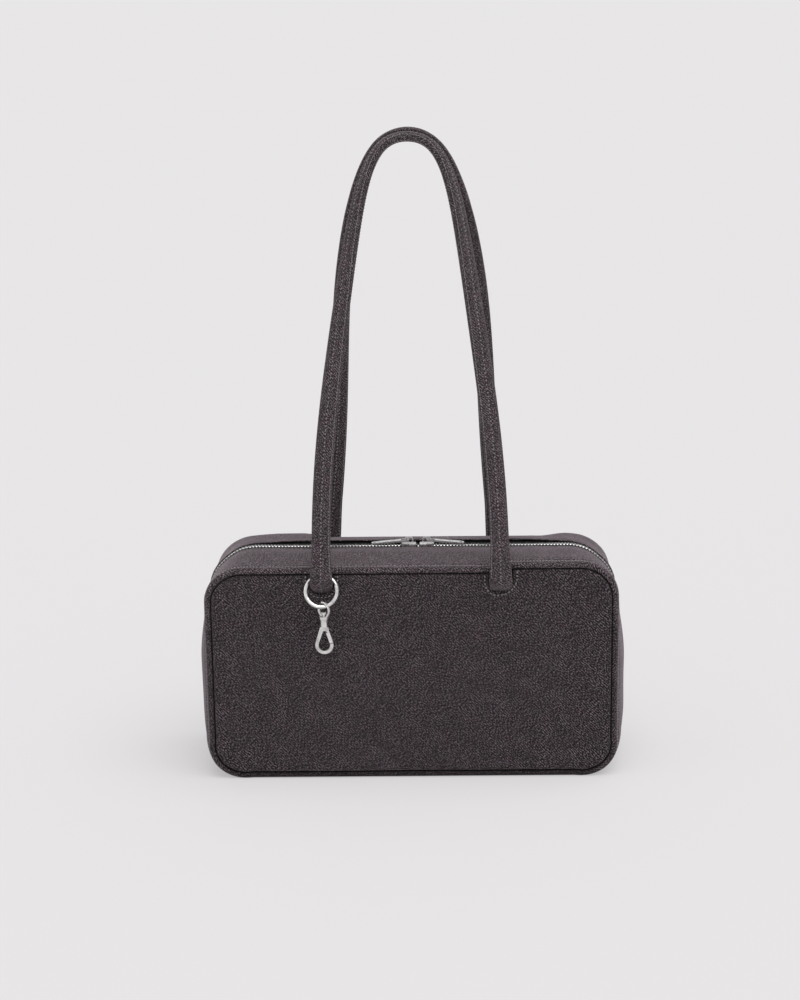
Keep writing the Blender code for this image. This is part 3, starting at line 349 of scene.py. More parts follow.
def lines(start, end, step):
    """Evenly spaced lines from start to end, about a step apart, with the end left out."""
    count = max(1, round(abs(end - start) / step))
    return [blend(start, end, k / count) for k in range(count)]


def distances(points):
    """How far along a line each of its points lies."""
    return np.concatenate([[0], np.cumsum(np.linalg.norm(np.diff(points, axis=0), axis=1))])


def points_at(places, gone, points):
    """The places of a line whose points lie at the distances in gone."""
    return np.stack([np.interp(places, gone, points[:, axis]) for axis in range(3)], axis=1)


def units(vectors):
    return vectors / np.linalg.norm(vectors, axis=1)[:, None]


# Meshes from grids of points


def grid_faces(rows, columns, wrap=False):
    index = np.arange(rows * columns).reshape(rows, columns)
    if wrap:
        index = np.hstack([index, index[:, :1]])
    corners = [index[:-1, :-1], index[:-1, 1:], index[1:, 1:], index[1:, :-1]]
    return np.stack(corners, axis=-1).reshape(-1, 4)


def weave_corners(weave):
    """The weave at each corner of a grid's faces."""
    corners = [weave[:-1, :-1], weave[:-1, 1:], weave[1:, 1:], weave[1:, :-1]]
    return np.stack(corners, axis=2).reshape(-1, 3)


def flat_place(u, v, shade=0.0):
    """Places on the flat cloth, with the painted shade at each one, from 0 to 1, kept as millimetres off it.
    """
    u, v, shade = np.broadcast_arrays(u, v, shade)
    return np.stack([u, v, shade * MM], axis=-1)


def new_object(name, points, faces, corners, finish, body, smooth_angle=None):
    """A piece that keeps each corner's place on the flat cloth, for the weave to follow."""
    mesh = bpy.data.meshes.new(name)
    mesh.from_pydata(points.tolist(), [], faces)
    layer = mesh.attributes.new("cloth", "FLOAT_VECTOR", "CORNER")
    layer.data.foreach_set("vector", np.asarray(corners, np.float32).ravel())
    mesh.validate()
    mesh.shade_smooth()
    if smooth_angle is not None:
        mesh.set_sharp_from_angle(angle=math.radians(smooth_angle))
    mesh.materials.append(finish)
    thing = bpy.data.objects.new(name, mesh)
    bpy.context.scene.collection.objects.link(thing)
    if body is not None:
        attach(thing, body)
    return thing


def sheet(node, points, weave, finish, flip=True):
    """A smooth skin of cloth through a grid of points, in place of a CAD node."""
    faces = grid_faces(*points.shape[:2])
    corners = weave_corners(weave)
    if flip:
        faces = faces[:, ::-1]
        corners = corners.reshape(-1, 4, 3)[:, ::-1].reshape(-1, 3)
    points = points.reshape(-1, 3)
    piece = new_object(f"{node}_cloth", points, faces.tolist(), corners, finish, "bag")
    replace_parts(piece, node)


def closed_tube(points, weave=None):
    """The points, faces and weave per corner of a tube through rings of points, closed at both ends."""
    rows, columns = points.shape[:2]
    if weave is None:
        weave = np.zeros((rows, columns + 1, 3))
    ends = [list(range(columns))[::-1], list(range((rows - 1) * columns, rows * columns))]
    faces = grid_faces(rows, columns, True).tolist() + ends
    corners = np.concatenate([weave_corners(weave), weave[0, :-1][::-1], weave[-1, :-1]])
    return points.reshape(-1, 3), faces, corners


def merged(name, tubes, finish, body, smooth_angle=None):
    """One piece from several closed tubes."""
    faces, count = [], 0
    for points, tube_faces, _ in tubes:
        faces += [[k + count for k in face] for face in tube_faces]
        count += len(points)
    points, corners = (np.concatenate([tube[k] for tube in tubes]) for k in (0, 2))
    return new_object(name, points, faces, corners, finish, body, smooth_angle)


def slab(node, kind, outer, inner, weave, finish):
    """A closed layer between two grids of matching points, in place of a CAD node."""
    rows, columns = outer.shape[:2]
    count = rows * columns
    top = grid_faces(rows, columns)
    index = np.arange(count).reshape(rows, columns)
    rim = np.concatenate([index[0, :], index[1:, -1], index[-1, -2::-1], index[-2:0:-1, 0]])
    after = np.roll(rim, -1)
    walls = np.stack([after, rim, rim + count, after + count], axis=-1)
    faces = np.concatenate([top, top[:, ::-1] + count, walls])
    points = np.concatenate([outer.reshape(-1, 3), inner.reshape(-1, 3)])
    places = np.tile(weave.reshape(-1, 3), (2, 1))
    corners = places[faces.ravel()]
    piece = new_object(f"{node}_{kind}", points, faces.tolist(), corners, finish, "bag", LAYER_SHARP)
    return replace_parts(piece, node)


# Materials


class Nodes:
    """Short names for the nodes that the materials below share."""

    def __init__(self, name):
        self.material = bpy.data.materials.new(name)
        self.material.use_nodes = True
        self.tree = self.material.node_tree
        self.shader = self.tree.nodes["Principled BSDF"]

    def put(self, value, socket):
        """Set a socket to a number or colour, or link it to another node's output."""
        if isinstance(value, bpy.types.NodeSocket):
            self.tree.links.new(value, socket)
        else:
            socket.default_value = value

    def add(self, kind, inputs, **settings):
        """A new node, with its inputs given by name or by number."""
        made = self.tree.nodes.new(kind)
        for key, value in settings.items():
            setattr(made, key, value)
        for key, value in inputs.items():
            self.put(value, made.inputs[key])
        return made

    def maths(self, operation, *values):
        return self.add("ShaderNodeMath", dict(enumerate(values)), operation=operation).outputs[0]

    def times(self, first, second):
        return self.maths("MULTIPLY", first, second)

    def plus(self, first, second):
        return self.maths("ADD", first, second)

    def ridges(self, distance, pitch):
        """Even waves from -1 to 1, one every pitch."""
        return self.maths("SINE", self.times(distance, 2 * math.pi / pitch))

    def place(self):
        return self.add("ShaderNodeAttribute", {}, attribute_name="cloth").outputs["Vector"]

    def position(self):
        return self.add("ShaderNodeTexCoord", {}).outputs["Object"]

    def along(self, vector, direction):
        made = self.add("ShaderNodeVectorMath", {0: vector, 1: direction}, operation="DOT_PRODUCT")
        return made.outputs["Value"]

    def joined(self, x, y, z=0.0):
        return self.add("ShaderNodeCombineXYZ", {0: x, 1: y, 2: z}).outputs[0]

    def noise(self, vector, size, detail=2.0, roughness=0.5):
        inputs = {"Vector": vector, "Scale": 1 / size, "Detail": detail, "Roughness": roughness}
        return self.add("ShaderNodeTexNoise", inputs).outputs["Fac"]

    def cells(self, vector, size):
        return self.add("ShaderNodeTexVoronoi", {"Vector": vector, "Scale": 1 / size}).outputs["Distance"]

    def spread(self, value, low, high, to_low=0.0, to_high=1.0):
        """Stretch the values from low to high over another range, and cut off the rest."""
        return self.add("ShaderNodeMapRange", dict(enumerate((value, low, high, to_low, to_high)))).outputs[0]

    def mix(self, share, first, second, mode="MIX"):
        first, second = ((*value, 1.0) if isinstance(value, tuple) else value for value in (first, second))
        inputs = {0: share, 6: first, 7: second}
        return self.add("ShaderNodeMix", inputs, data_type="RGBA", blend_type=mode).outputs[2]

    def bump(self, height, distance, strength=1.0, normal=None):
        inputs = {"Distance": distance, "Strength": strength, "Height": height}
        if normal is not None:
            inputs["Normal"] = normal
        return self.add("ShaderNodeBump", inputs).outputs[0]

    def finish(self, colour, roughness, normal=None, sheen=0.0, specular=0.5, metallic=0.0):
        inputs = {"Base Color": colour, "Roughness": roughness, "Normal": normal, "Sheen Weight": sheen,
                  "Specular IOR Level": specular, "Metallic": metallic}
        for name, value in inputs.items():
            if value is not None:
                self.put(value, self.shader.inputs[name])
        return self.material


def washed_twill(name, painted_light=1.0, contrast=1.0, sheen=0.32):
    """Charcoal warp over pale weft: diagonal ribs, salt and pepper, and the mottling that washing leaves."""
    n = Nodes(name)
    place = n.place()
    across = n.along(place, (DIAGONAL, DIAGONAL, 0.0))
    down = n.along(place, (DIAGONAL, -DIAGONAL, 0.0))
    drift = n.times(n.maths("SUBTRACT", n.noise(place, 0.005), 0.5), 0.0030)
    ribs = n.ridges(n.plus(across, drift), TWILL_PITCH)
    streaks = n.noise(n.joined(across, n.times(down, 0.45)), FLECK, 1.0)
    specks = n.noise(place, FLECK * 0.8, 2.0, 0.7)
    worn = n.spread(n.noise(place, 0.012), 0.35, 0.65, 0.2, 1.0)
    grain = n.plus(n.times(streaks, 0.5), n.times(specks, 0.5))
    grain = n.plus(grain, n.times(n.times(ribs, worn), 0.075))
    clouds = n.noise(place, 0.030, 3.0, 0.6)
    patches = n.noise(place, 0.007, 2.0, 0.6)
    hue = n.spread(n.noise(place, 0.010), 0.38, 0.62)
    warp = n.mix(hue, WARP, WARP_GREY)
    colour = n.mix(n.spread(grain, 0.46, 0.52, 1 - contrast, 1.0), PEPPER, warp)
    colour = n.mix(n.spread(grain, 0.545, 0.60, 0.0, contrast), colour, SALT)
    wash = n.plus(n.spread(clouds, 0.25, 0.75, 0.86, 1.12), n.spread(patches, 0.25, 0.75, -0.14, 0.14))
    # Painted shade: the shade each corner carries darkens the colour and the sheen in seams, slots, under the
    # bag, on the straps' feet and where the straps touch
    painted_shade_factor = n.spread(n.along(place, (0.0, 0.0, 1.0)), 0.0, MM, 1.0, SEAM_PAINTED_SHADE)
    # Painted light: a value above 1 brightens a copy of this cloth, standing in for more light and sheen on
    # it
    tone = n.times(n.times(wash, painted_shade_factor), painted_light)
    colour = n.mix(1.0, colour, n.joined(tone, tone, tone), "MULTIPLY")
    normal = n.bump(n.noise(place, 0.0035), 0.0005, 0.6)
    normal = n.bump(grain, 0.0005, 0.8, normal)
    n.shader.inputs["Sheen Roughness"].default_value = 0.45
    n.shader.inputs["Sheen Tint"].default_value = (1.0, 0.86, 0.93, 1.0)
    return n.finish(colour, n.spread(grain, 0.3, 0.7, 0.96, 0.82), normal, n.times(painted_shade_factor, sheen), 0.15)


def zip_weave():
    """The zip's tape: a tight dark weave with fine ribs along it."""
    n = Nodes("zip_tape_weave")
    place = n.place()
    rib = n.ridges(n.along(place, (1.0, 0.0, 0.0)), 0.00055)
    pick = n.ridges(n.along(place, (0.45, 1.0, 0.0)), 0.00080)
    weave = n.times(rib, pick)
    grain = n.noise(place, 0.0007)
    share = n.plus(n.spread(weave, -1.0, 1.0, 0.1, 0.6), n.spread(grain, 0.3, 0.7, -0.2, 0.4))
    colour = n.mix(share, (0.004, 0.0038, 0.004), (0.022, 0.020, 0.022))
    return n.finish(colour, 0.85, n.bump(n.plus(weave, grain), 0.00012, 0.8), sheen=0.2)


def satin_metal():
    """Cast and tumbled nickel: soft gloss, faint pitting and fine handling marks."""
    bright = (0.80, 0.79, 0.775)
    worn = tuple(part * 0.62 for part in bright)
    n = Nodes("satin_nickel")
    spot = n.position()
    clouds = n.noise(spot, 0.004, 3.0)
    pits = n.noise(spot, 0.0006, 3.0, 0.6)
    drawn_out = ((260.0, 40.0, 0.0), (0.0, 900.0, 300.0), (0.0, 100.0, 2600.0))
    marks = n.noise(n.joined(*(n.along(spot, way) for way in drawn_out)), 1.0)
    colour = n.mix(n.spread(clouds, 0.3, 0.75), bright, worn)
    roughness = n.plus(n.spread(clouds, 0.3, 0.7, 0.16, 0.34), n.spread(marks, 0.3, 0.7, -0.04, 0.06))
    normal = n.bump(n.plus(pits, n.times(marks, 0.5)), 0.00004, 0.5)
    return n.finish(colour, roughness, normal, metallic=1.0)


def thread():
    """Pale grey polyester thread with its twist."""
    n = Nodes("grey_thread")
    twist = n.ridges(n.along(n.place(), (1.0, 0.6, 0.0)), 0.00045)
    fuzz = n.noise(n.position(), 0.0005)
    shade = n.plus(n.spread(twist, -1.0, 1.0, 0.0, 0.6), n.spread(fuzz, 0.3, 0.7, -0.1, 0.4))
    colour = n.mix(shade, (0.220, 0.205, 0.210), (0.480, 0.460, 0.465))
    return n.finish(colour, 0.75, n.bump(twist, 0.00006, 0.8), sheen=0.2)


def lining_cloth():
    """A smooth black lining with a fine plain weave."""
    n = Nodes("black_lining")
    place = n.place()
    warp, weft = (n.ridges(n.along(place, way), 0.0005) for way in ((1.0, 0.0, 0.0), (0.0, 1.0, 0.0)))
    weave = n.times(warp, weft)
    clouds = n.noise(place, 0.02, 3.0)
    share = n.plus(n.spread(weave, -1.0, 1.0, 0.2, 0.5), n.spread(clouds, 0.3, 0.7, -0.2, 0.3))
    colour = n.mix(share, (0.008, 0.008, 0.009), (0.026, 0.025, 0.028))
    return n.finish(colour, n.spread(clouds, 0.3, 0.7, 0.55, 0.7), n.bump(weave, 0.00006, 0.6), sheen=0.15)


def foam_stuff(name, pale, deep, size):
    """Open-cell foam or wadding: rounded cells, with painted shade in their hollows."""
    n = Nodes(name)
    spot = n.position()
    cells = n.cells(spot, size)
    clouds = n.noise(spot, 0.02, 3.0)
    # Painted shade: the middle of each cell, its hollow, takes the deep colour
    colour = n.mix(n.spread(cells, 0.1, 0.7), deep, pale)
    colour = n.mix(n.spread(clouds, 0.3, 0.8, 0.0, 0.3), colour, deep)
    return n.finish(colour, 0.95, n.bump(cells, size * 0.4, 0.7))


def fibre_board():
    """Pressed grey-brown board with fibres and specks."""
    n = Nodes("fibre_board")
    spot = n.position()
    fibre_ways = ((0.3, 0.0, 0.0), (0.0, 1.6, 0.0), (0.0, 0.0, 1.0))
    fibres = n.noise(n.joined(*(n.along(spot, way) for way in fibre_ways)), 0.002, 4.0, 0.7)
    specks = n.noise(spot, 0.0009)
    colour = n.mix(n.spread(fibres, 0.3, 0.7), (0.24, 0.19, 0.135), (0.44, 0.36, 0.265))
    colour = n.mix(n.spread(specks, 0.64, 0.72, 0.0, 0.6), colour, (0.10, 0.08, 0.06))
    return n.finish(colour, 0.9, n.bump(fibres, 0.0002, 0.6))


def pale_floor():
    """A pale floor that glows a little to the camera, so that the object's shadow on it is faint."""
    n = Nodes("pale_floor")
    clouds = n.noise(n.position(), 0.4)
    colour = n.mix(n.spread(clouds, 0.3, 0.7), (0.800, 0.786, 0.793), (0.806, 0.792, 0.799))
    n.finish(colour, 0.95, specular=0.0)
    glow = n.add("ShaderNodeEmission", {"Color": FLOOR_GLOW}).outputs[0]
    seen = n.times(n.add("ShaderNodeLightPath", {}).outputs["Is Camera Ray"], FLOOR_GLOW_SHARE)
    both = n.add("ShaderNodeMixShader", {0: seen, 1: n.shader.outputs[0], 2: glow}).outputs[0]
    n.put(both, n.tree.nodes["Material Output"].inputs["Surface"])
    return n.material


def give_material(finish, *nodes):
    """Give CAD solids that stay in view a material."""
    for name in nodes:
        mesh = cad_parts[name].data
        mesh.materials.clear()
        mesh.materials.append(finish)


# The body's shape: everything on the gusset is placed by a distance along the seam from the top centre


def gusset_crown(left):
    """How far the gusset's middle stands out past the seam: it is drawn flat round the corners."""
    top = 1 - smooth((left - TOP_RUN + TOP_FALL_START) / TOP_FALL)
    side = smooth((left - TOP_RUN - SIDE_RISE_START) / SIDE_RISE)
    side *= 1 - smooth((left - (SIDE_END - SIDE_FALL_START)) / (SIDE_FALL_START + BOTTOM_ARC))
    return SEAM_LIFT + (TOP_CROWN - SEAM_LIFT) * top + (SIDE_CROWN - SEAM_LIFT) * side


def seam_frame(run):
    """Seam point, outward direction and the gusset's crown, at a distance along the seam from the top."""
    side, left = (1, run) if run >= 0 else (-1, -run)
    if left > HALF_RUN:
        side, left = -side, 2 * HALF_RUN - left
    if left <= TOP_RUN:
        x, z, turn = left, SEAM_TOP, 0.0
    elif left <= TOP_RUN + TOP_ARC:
        turn = (left - TOP_RUN) / TOP_CORNER
        x = TOP_RUN + TOP_CORNER * math.sin(turn)
        z = SEAM_TOP - TOP_CORNER * (1 - math.cos(turn))
    elif left <= SIDE_END:
        down = left - TOP_RUN - TOP_ARC
        x, z, turn = HALF_WIDTH, SEAM_TOP - TOP_CORNER - down, math.pi / 2
    elif left <= SIDE_END + BOTTOM_ARC:
        bend = (left - SIDE_END) / BOTTOM_CORNER
        turn = math.pi / 2 + bend
        x = HALF_WIDTH - BOTTOM_CORNER * (1 - math.cos(bend))
        z = SEAM_LIFT + BOTTOM_CORNER * (1 - math.sin(bend))
    else:
        x, z, turn = HALF_RUN - left, SEAM_LIFT, math.pi
    return side * x, z, side * math.sin(turn), math.cos(turn), gusset_crown(left)


def seam_frames(runs):
    return np.array([seam_frame(run) for run in runs]).T


def past_edges(qx, qz):
    """How far a point is past two edges that meet at its nearest corner, below 0 inside both."""
    return np.hypot(np.maximum(qx, 0), np.maximum(qz, 0)) + np.minimum(np.maximum(qx, qz), 0)


def from_seam(x, z):
    """How far inside the seam a point of the panel is."""
    radius = np.where(z > PANEL_MIDDLE, TOP_CORNER, BOTTOM_CORNER)
    beside = np.abs(x) - (HALF_WIDTH - radius)
    return radius - past_edges(beside, np.abs(z - PANEL_MIDDLE) - (BAG_HEIGHT / 2 - radius))


def from_slot(x, z):
    """How far outside the nearer strap slot a point of the panel is, or below 0 inside it."""
    beside = np.abs(np.abs(x) - STRAP_SPREAD) - (NOTCH_HALF - NOTCH_RADIUS)
    return past_edges(beside, STRAP_END_Z + NOTCH_RADIUS - z) - NOTCH_RADIUS


def corner_tuck(x, y, z, near_seam):
    """How far the cloth is drawn in at the top corners, and which way: the turn from straight down."""
    past, up = np.abs(x) - TOP_RUN, z - (SEAM_TOP - TOP_CORNER)
    turn = np.arctan2(np.clip(past, 0, None), np.clip(up, 0, None))
    below = np.where(past > 0, np.clip(-up, 0, None), 0.0)
    run = np.minimum(np.abs(x), TOP_RUN) + TOP_CORNER * turn + below
    tuck = CORNER_TUCK * np.exp(-((run - TUCK_RUN) / TUCK_REACH) ** 2) * near_seam
    tuck = tuck * smooth((y + TUCK_FORWARD) / TUCK_EASE) * smooth(z / BAG_HEIGHT)
    return np.where(z > PANEL_MIDDLE, tuck, 0.0), turn


def bottom_fullness(x, z, near_seam):
    """How far the filling swells the bottom corners, and which way: the turn from straight down."""
    turn = np.arctan2(np.clip(np.abs(x) - HALF_WIDTH + BOTTOM_CORNER, 0, None),
                      np.clip(SEAM_LIFT + BOTTOM_CORNER - z, 0, None))
    return np.where(z < PANEL_MIDDLE, BOTTOM_FULL * np.sin(2 * turn) * near_seam, 0.0), turn


def front_rise(x, y, z):
    """How far the front of the top is lifted on the right."""
    right = smooth((x - FRONT_RISE_FROM) / FRONT_RISE_EASE)
    high = smooth((z - SEAM_TOP) / FRONT_RISE_TALL + 1)
    return FRONT_RISE * right * high * (1 - smooth((y + INSIDE) / FRONT_RISE_DEEP))


def back_sag(x, y, z):
    """How far the back of the top has sunk between the strap's feet."""
    between = smooth((BACK_SAG_HALF - np.abs(x - BACK_SAG_AT)) / BACK_SAG_EASE)
    behind = smooth((y - LINING_FROM_ZIP) / (HALF_DEPTH - LINING_FROM_ZIP - WELT))
    return BACK_SAG * between * behind * smooth((z - SEAM_TOP + BACK_SAG_REACH) / BACK_SAG_REACH)


def seam_push(x, y):
    """How far the filling pushes the side seams out."""
    push = SEAM_PUSH * smooth((np.abs(x) - PUSH_FROM) / (HALF_WIDTH - PUSH_FROM))
    return push * smooth((np.abs(y) - PUSH_CLEAR) / (INSIDE - PUSH_CLEAR))


def settle(points):
    """Move the cloth's points to where filling, weight and use have left them."""
    x, y, z = (points[..., axis] for axis in range(3))
    near_seam = 1 - smooth(from_seam(x, z) / TUCK_DEPTH)
    tuck, top_turn = corner_tuck(x, y, z, near_seam)
    full, low_turn = bottom_fullness(x, z, near_seam)
    wider = np.sin(low_turn) * full + seam_push(x, y) - np.sin(top_turn) * tuck
    settled = z - np.cos(top_turn) * tuck - np.cos(low_turn) * full - back_sag(x, y, z) + front_rise(x, y, z)
    return np.stack([x + np.sign(x) * wider, y, settled], axis=-1)


def lay_on_gusset(runs, ys, heights):
    """Points over the seam: heights holds one row for each place along the seam."""
    x, z, out_x, out_z, _ = (part[:, None] for part in seam_frames(runs))
    ys = np.broadcast_to(ys, heights.shape)
    return settle(np.stack([x + out_x * heights, ys, z + out_z * heights], axis=-1))


def crown_heights(runs, ys):
    """How far the gusset's outside stands out past the seam."""
    crown = seam_frames(runs)[4][:, None]
    reach = np.clip(np.abs(ys) / INSIDE, 0.0, 1.0)
    shape = np.clip(np.cos(math.pi / 2 * reach), 0.0, 1.0) ** CROWN_FULLNESS
    return SEAM_LIFT + (crown - SEAM_LIFT) * shape


def on_gusset(runs, ys, depth):
    return lay_on_gusset(runs, ys, crown_heights(runs, ys) - depth)


def on_chain(runs, ys, level):
    """Points of the zip, at a level over the crown line."""
    crown = seam_frames(runs)[4][:, None]
    return lay_on_gusset(runs, ys, np.broadcast_to(crown + level, (len(runs), np.shape(ys)[-1])))


def floor_share(runs):
    """How far a place on the seam is under the bag, from 0 beside its bottom corners to 1."""
    left = np.minimum(np.abs(runs), 2 * HALF_RUN - np.abs(runs))
    return np.clip((left - (HALF_RUN - HALF_WIDTH)) / FLOOR_EASE, 0, 1)


def even_runs(start, end, step):
    """Places along the seam, a step apart, with both ends."""
    count = max(2, round((end - start) / step))
    return np.linspace(start, end, count + 1)


def roll_in(distance, radius, depth):
    """How far cloth drops as it rolls over an edge."""
    near = np.clip(1 - distance / radius, 0.0, 1.0)
    return depth * (1 - np.sqrt(1 - near ** 2))


# Panels


def half_width_at(z):
    """Half the panel's width at a height, at the seam."""
    above = np.clip(z - (SEAM_TOP - TOP_CORNER), 0, TOP_CORNER)
    below = np.clip(SEAM_LIFT + BOTTOM_CORNER - z, 0, BOTTOM_CORNER)
    top = np.sqrt(np.clip(TOP_CORNER ** 2 - above ** 2, 0, None)) - TOP_CORNER
    bottom = np.sqrt(np.clip(BOTTOM_CORNER ** 2 - below ** 2, 0, None)) - BOTTOM_CORNER
    return HALF_WIDTH + top + bottom


def panel_grid():
    """The x and z of the panel's grid: fine at the seam and round the slots."""
    slot_left, slot_right = (STRAP_SPREAD + way * (NOTCH_HALF + SLOT_BESIDE) for way in (-1, 1))
    right = lines(0, slot_left, COARSE) + lines(slot_left, slot_right, FINE)
    right += lines(slot_right, PANEL_STRAIGHT, COARSE)
    middle = np.array([-x for x in right[:0:-1]] + right)
    low = [SEAM_LIFT + step for step in EDGE_STEPS]
    high = [SEAM_TOP - step for step in EDGE_STEPS]
    slot_low = STRAP_END_Z - SLOT_BELOW
    zs = np.array(low[:-1] + lines(low[-1], slot_low, COARSE) + lines(slot_low, high[-1], FINE) + high[::-1])
    shares = np.arange(PANEL_EDGE_COLUMNS) / PANEL_EDGE_COLUMNS
    rows = []
    for z in zs:
        edge = half_width_at(z) - np.array(EDGE_STEPS[::-1])
        outer = np.concatenate([blend(PANEL_STRAIGHT, edge[0], shares), edge])
        rows.append(np.concatenate([-outer[::-1], middle, outer]))
    x = np.array(rows)
    return x, np.broadcast_to(zs[:, None], x.shape)


def panel_face(x, z, seed):
    """How far the panel's outside stands from the bag's middle plane."""
    up = z - PANEL_MIDDLE
    swell = np.clip(1 - (x / HALF_WIDTH) ** 2, 0, 1) * np.clip(1 - (up / (BAG_HEIGHT / 2)) ** 2, 0, 1)
    inset, slot = from_seam(x, z), from_slot(x, z)
    beside = np.clip(slot, 0, None)
    around = np.arctan2(up * PANEL_TALLER, x) * PANEL_ROUND
    pucker = ripple(around, inset * SEAM_PUCKER_STRETCH, PUCKER_PITCH, seed) * PUCKER
    pucker *= np.exp(-inset / PUCKER_REACH)
    tug = ripple(x, z * SLOT_PUCKER_STRETCH, PUCKER_PITCH, seed + 3) * PUCKER * np.exp(-beside / PUCKER_REACH)
    wave = ripple(x, z, WAVE_LENGTH, seed + 1) * WAVE
    wave += ripple(x, z, WAVE_LENGTH / 3, seed + 2) * WAVE * SMALL_WAVE
    face = HALF_DEPTH + PANEL_BULGE * swell + (pucker + tug + wave) * smooth(inset / PANEL_EASE)
    roll = roll_in(np.maximum(inset - PANEL_EDGE, 0), PANEL_ROLL, PANEL_ROLL_DEPTH)
    inside = smooth(-slot / SLOT_EASE) * (SLOT_DEPTH - SLOT_ROLL)
    return face - np.maximum(roll, roll_in(beside, SLOT_ROLL, SLOT_ROLL) + inside)


def panel_painted_shade(x, z):
    """Painted shade on the panel's cloth, by how deep in the seam, or in a strap's slot, it lies."""
    seam = smooth((PANEL_EDGE + SHADE_REACH - from_seam(x, z)) / SHADE_EASE)
    inside = SLOT_SHADE_REACH - from_slot(x, z)
    floor = SLOT_FLOOR_LIT * smooth((inside - SLOT_SHADE_WIDTH) / SHADE_EASE)
    return np.maximum(seam, smooth(inside / SHADE_EASE) * (1 - floor))


def panels(cloth):
    x, z = panel_grid()
    for which, side in SIDES:
        points = settle(np.stack([x, side * panel_face(x, z, PANEL_SEEDS[side]), z], axis=-1))
        weave = flat_place(x * -side, z, panel_painted_shade(x, z))
        sheet(f"{which}_panel", points, weave, cloth, flip=side > 0)


# Gusset


def strip_heights(runs, ys, seed):
    """The outside of a gusset strip between its edges, with the dip under its stitches and its waves."""
    dip = TOPSTITCH_DIP * np.exp(-((np.abs(ys) - TOPSTITCH_Y) / TOPSTITCH_HALF) ** 2)
    along, across = np.meshgrid(runs, ys, indexing="ij")
    from_edge = INSIDE - np.abs(across)
    wave = ripple(along, across, GUSSET_WAVE_LENGTH, seed) * WAVE * smooth(from_edge / GUSSET_EASE)
    pucker = ripple(along, across * GUSSET_PUCKER_STRETCH, PUCKER_PITCH, seed + 1) * PUCKER
    pucker *= np.exp(-from_edge / PUCKER_REACH)
    return crown_heights(runs, ys) - dip + (wave + pucker) * (1 - floor_share(along))


def add_columns(ys, heights, more_ys, more_heights, at_high_y):
    """Put columns on a strip at one of its edges: they are listed from the strip outward."""
    if at_high_y:
        return np.concatenate([ys, more_ys]), np.hstack([heights, more_heights])
    return np.concatenate([more_ys[::-1], ys]), np.hstack([more_heights[:, ::-1], heights])


def gusset_section(runs, low_y, high_y, seed, welts):
    """Points across a gusset strip: y for each column, and its heights for each place along the seam."""
    dips = [np.linspace(mark - DIP_HALF, mark + DIP_HALF, DIP_COLUMNS)
            for mark in (-TOPSTITCH_Y, TOPSTITCH_Y)]
    ys = np.concatenate([lines(low_y, high_y, GUSSET_STEP), [high_y], *dips])
    ys = np.unique(ys[(ys >= low_y) & (ys <= high_y)])
    heights = strip_heights(runs, ys, seed)
    welt_y = INSIDE + (HALF_DEPTH - INSIDE - FIT) * np.cos(WELT_TURNS[-2::-1])
    welt_height = WELT_CENTRE + WELT_TALL * np.sin(WELT_TURNS[-2::-1])
    for side in welts:
        rolled = np.broadcast_to(welt_height, (len(runs), len(welt_height)))
        ys, heights = add_columns(ys, heights, side * welt_y, rolled, side > 0)
    return ys, heights


def folded_end(runs, heights, ends):
    """Roll a strip's cloth in at its cross seams."""
    for end in ends:
        heights = heights - roll_in(np.abs(runs - end), FOLD_STEPS[-1], FOLD_STEPS[-1])[:, None]
    return heights


def runs_with_ends(start, end):
    """Places along a strip, evenly spaced, and finer at its folded ends."""
    inner = even_runs(start + FOLD_STEPS[-1], end - FOLD_STEPS[-1], GUSSET_STEP)[1:-1]
    return np.concatenate([start + np.array(FOLD_STEPS), inner, end - np.array(FOLD_STEPS[::-1])])


def gusset_weave(runs, ys, heights):
    """A strip's flat cloth, with painted shade in the groove beside its welts and a little painted shadow
    under the bag.
    """
    along = np.broadcast_to(np.asarray(runs)[:, None], heights.shape)
    across = np.concatenate([[0], np.cumsum(np.hypot(np.diff(ys), np.diff(heights[len(runs) // 2])))])
    low = WELT_SHADE_FROM - (heights - WELT_CENTRE) / WELT_TALL
    shade = np.where(np.abs(ys) > INSIDE + 0.01 * MM, smooth(low / WELT_SHADE_EASE), 0.0)
    # Painted shadow: the cloth under the bag is darkened as if in its contact shadow
    shade = np.maximum(shade, UNDER_SHADE * smooth(floor_share(along)))
    return flat_place(along, np.broadcast_to(across, heights.shape), shade)


def zip_strips(cloth):
    """The strips beside the zip, rolled under at its mouth, with the front lip lower than the back one."""
    runs = runs_with_ends(-ZIP_END, ZIP_END)
    mouth_y = ZIP_HALF + MOUTH_ROLL * np.concatenate([1 - np.sin(MOUTH_TURNS), [3, 6]])
    mouth_drop = MOUTH_ROLL * (1 - np.cos(MOUTH_TURNS))
    closing = smooth((np.abs(runs) - CLOSE_START) / CLOSE_LENGTH)[:, None]
    for which, side in SIDES:
        low, high = sorted((side * (ZIP_HALF + MOUTH_ROLL * 1.5), side * INSIDE))
        ys, heights = gusset_section(runs, low, high, STRIP_SEEDS[side], (side,))
        fading = smooth((np.abs(runs) - LIP_FADE_STARTS[side]) / LIP_FADE_LENGTHS[side])[:, None]
        lip = LIPS[side] * (1 - fading)
        heights = heights + lip * (1 - smooth((np.abs(ys) - ZIP_HALF) / LIP_REACH))
        mouth = crown_heights(runs, np.array([ZIP_HALF + MOUTH_ROLL])) + lip - mouth_drop
        under = np.repeat(mouth[:, -1:], 2, axis=1) - UNDER_LIP
        ys, heights = add_columns(ys, heights, side * mouth_y, np.hstack([mouth, under]), side < 0)
        heights = folded_end(runs, heights, (-ZIP_END, ZIP_END))
        drawn = ys - side * MOUTH_CLOSES[side] * closing * (1 - smooth((np.abs(ys) - ZIP_HALF) / LIP_REACH))
        points = lay_on_gusset(runs, drawn, heights)
        sheet(f"zip_gusset_{which}", points, gusset_weave(runs, ys, heights), cloth)


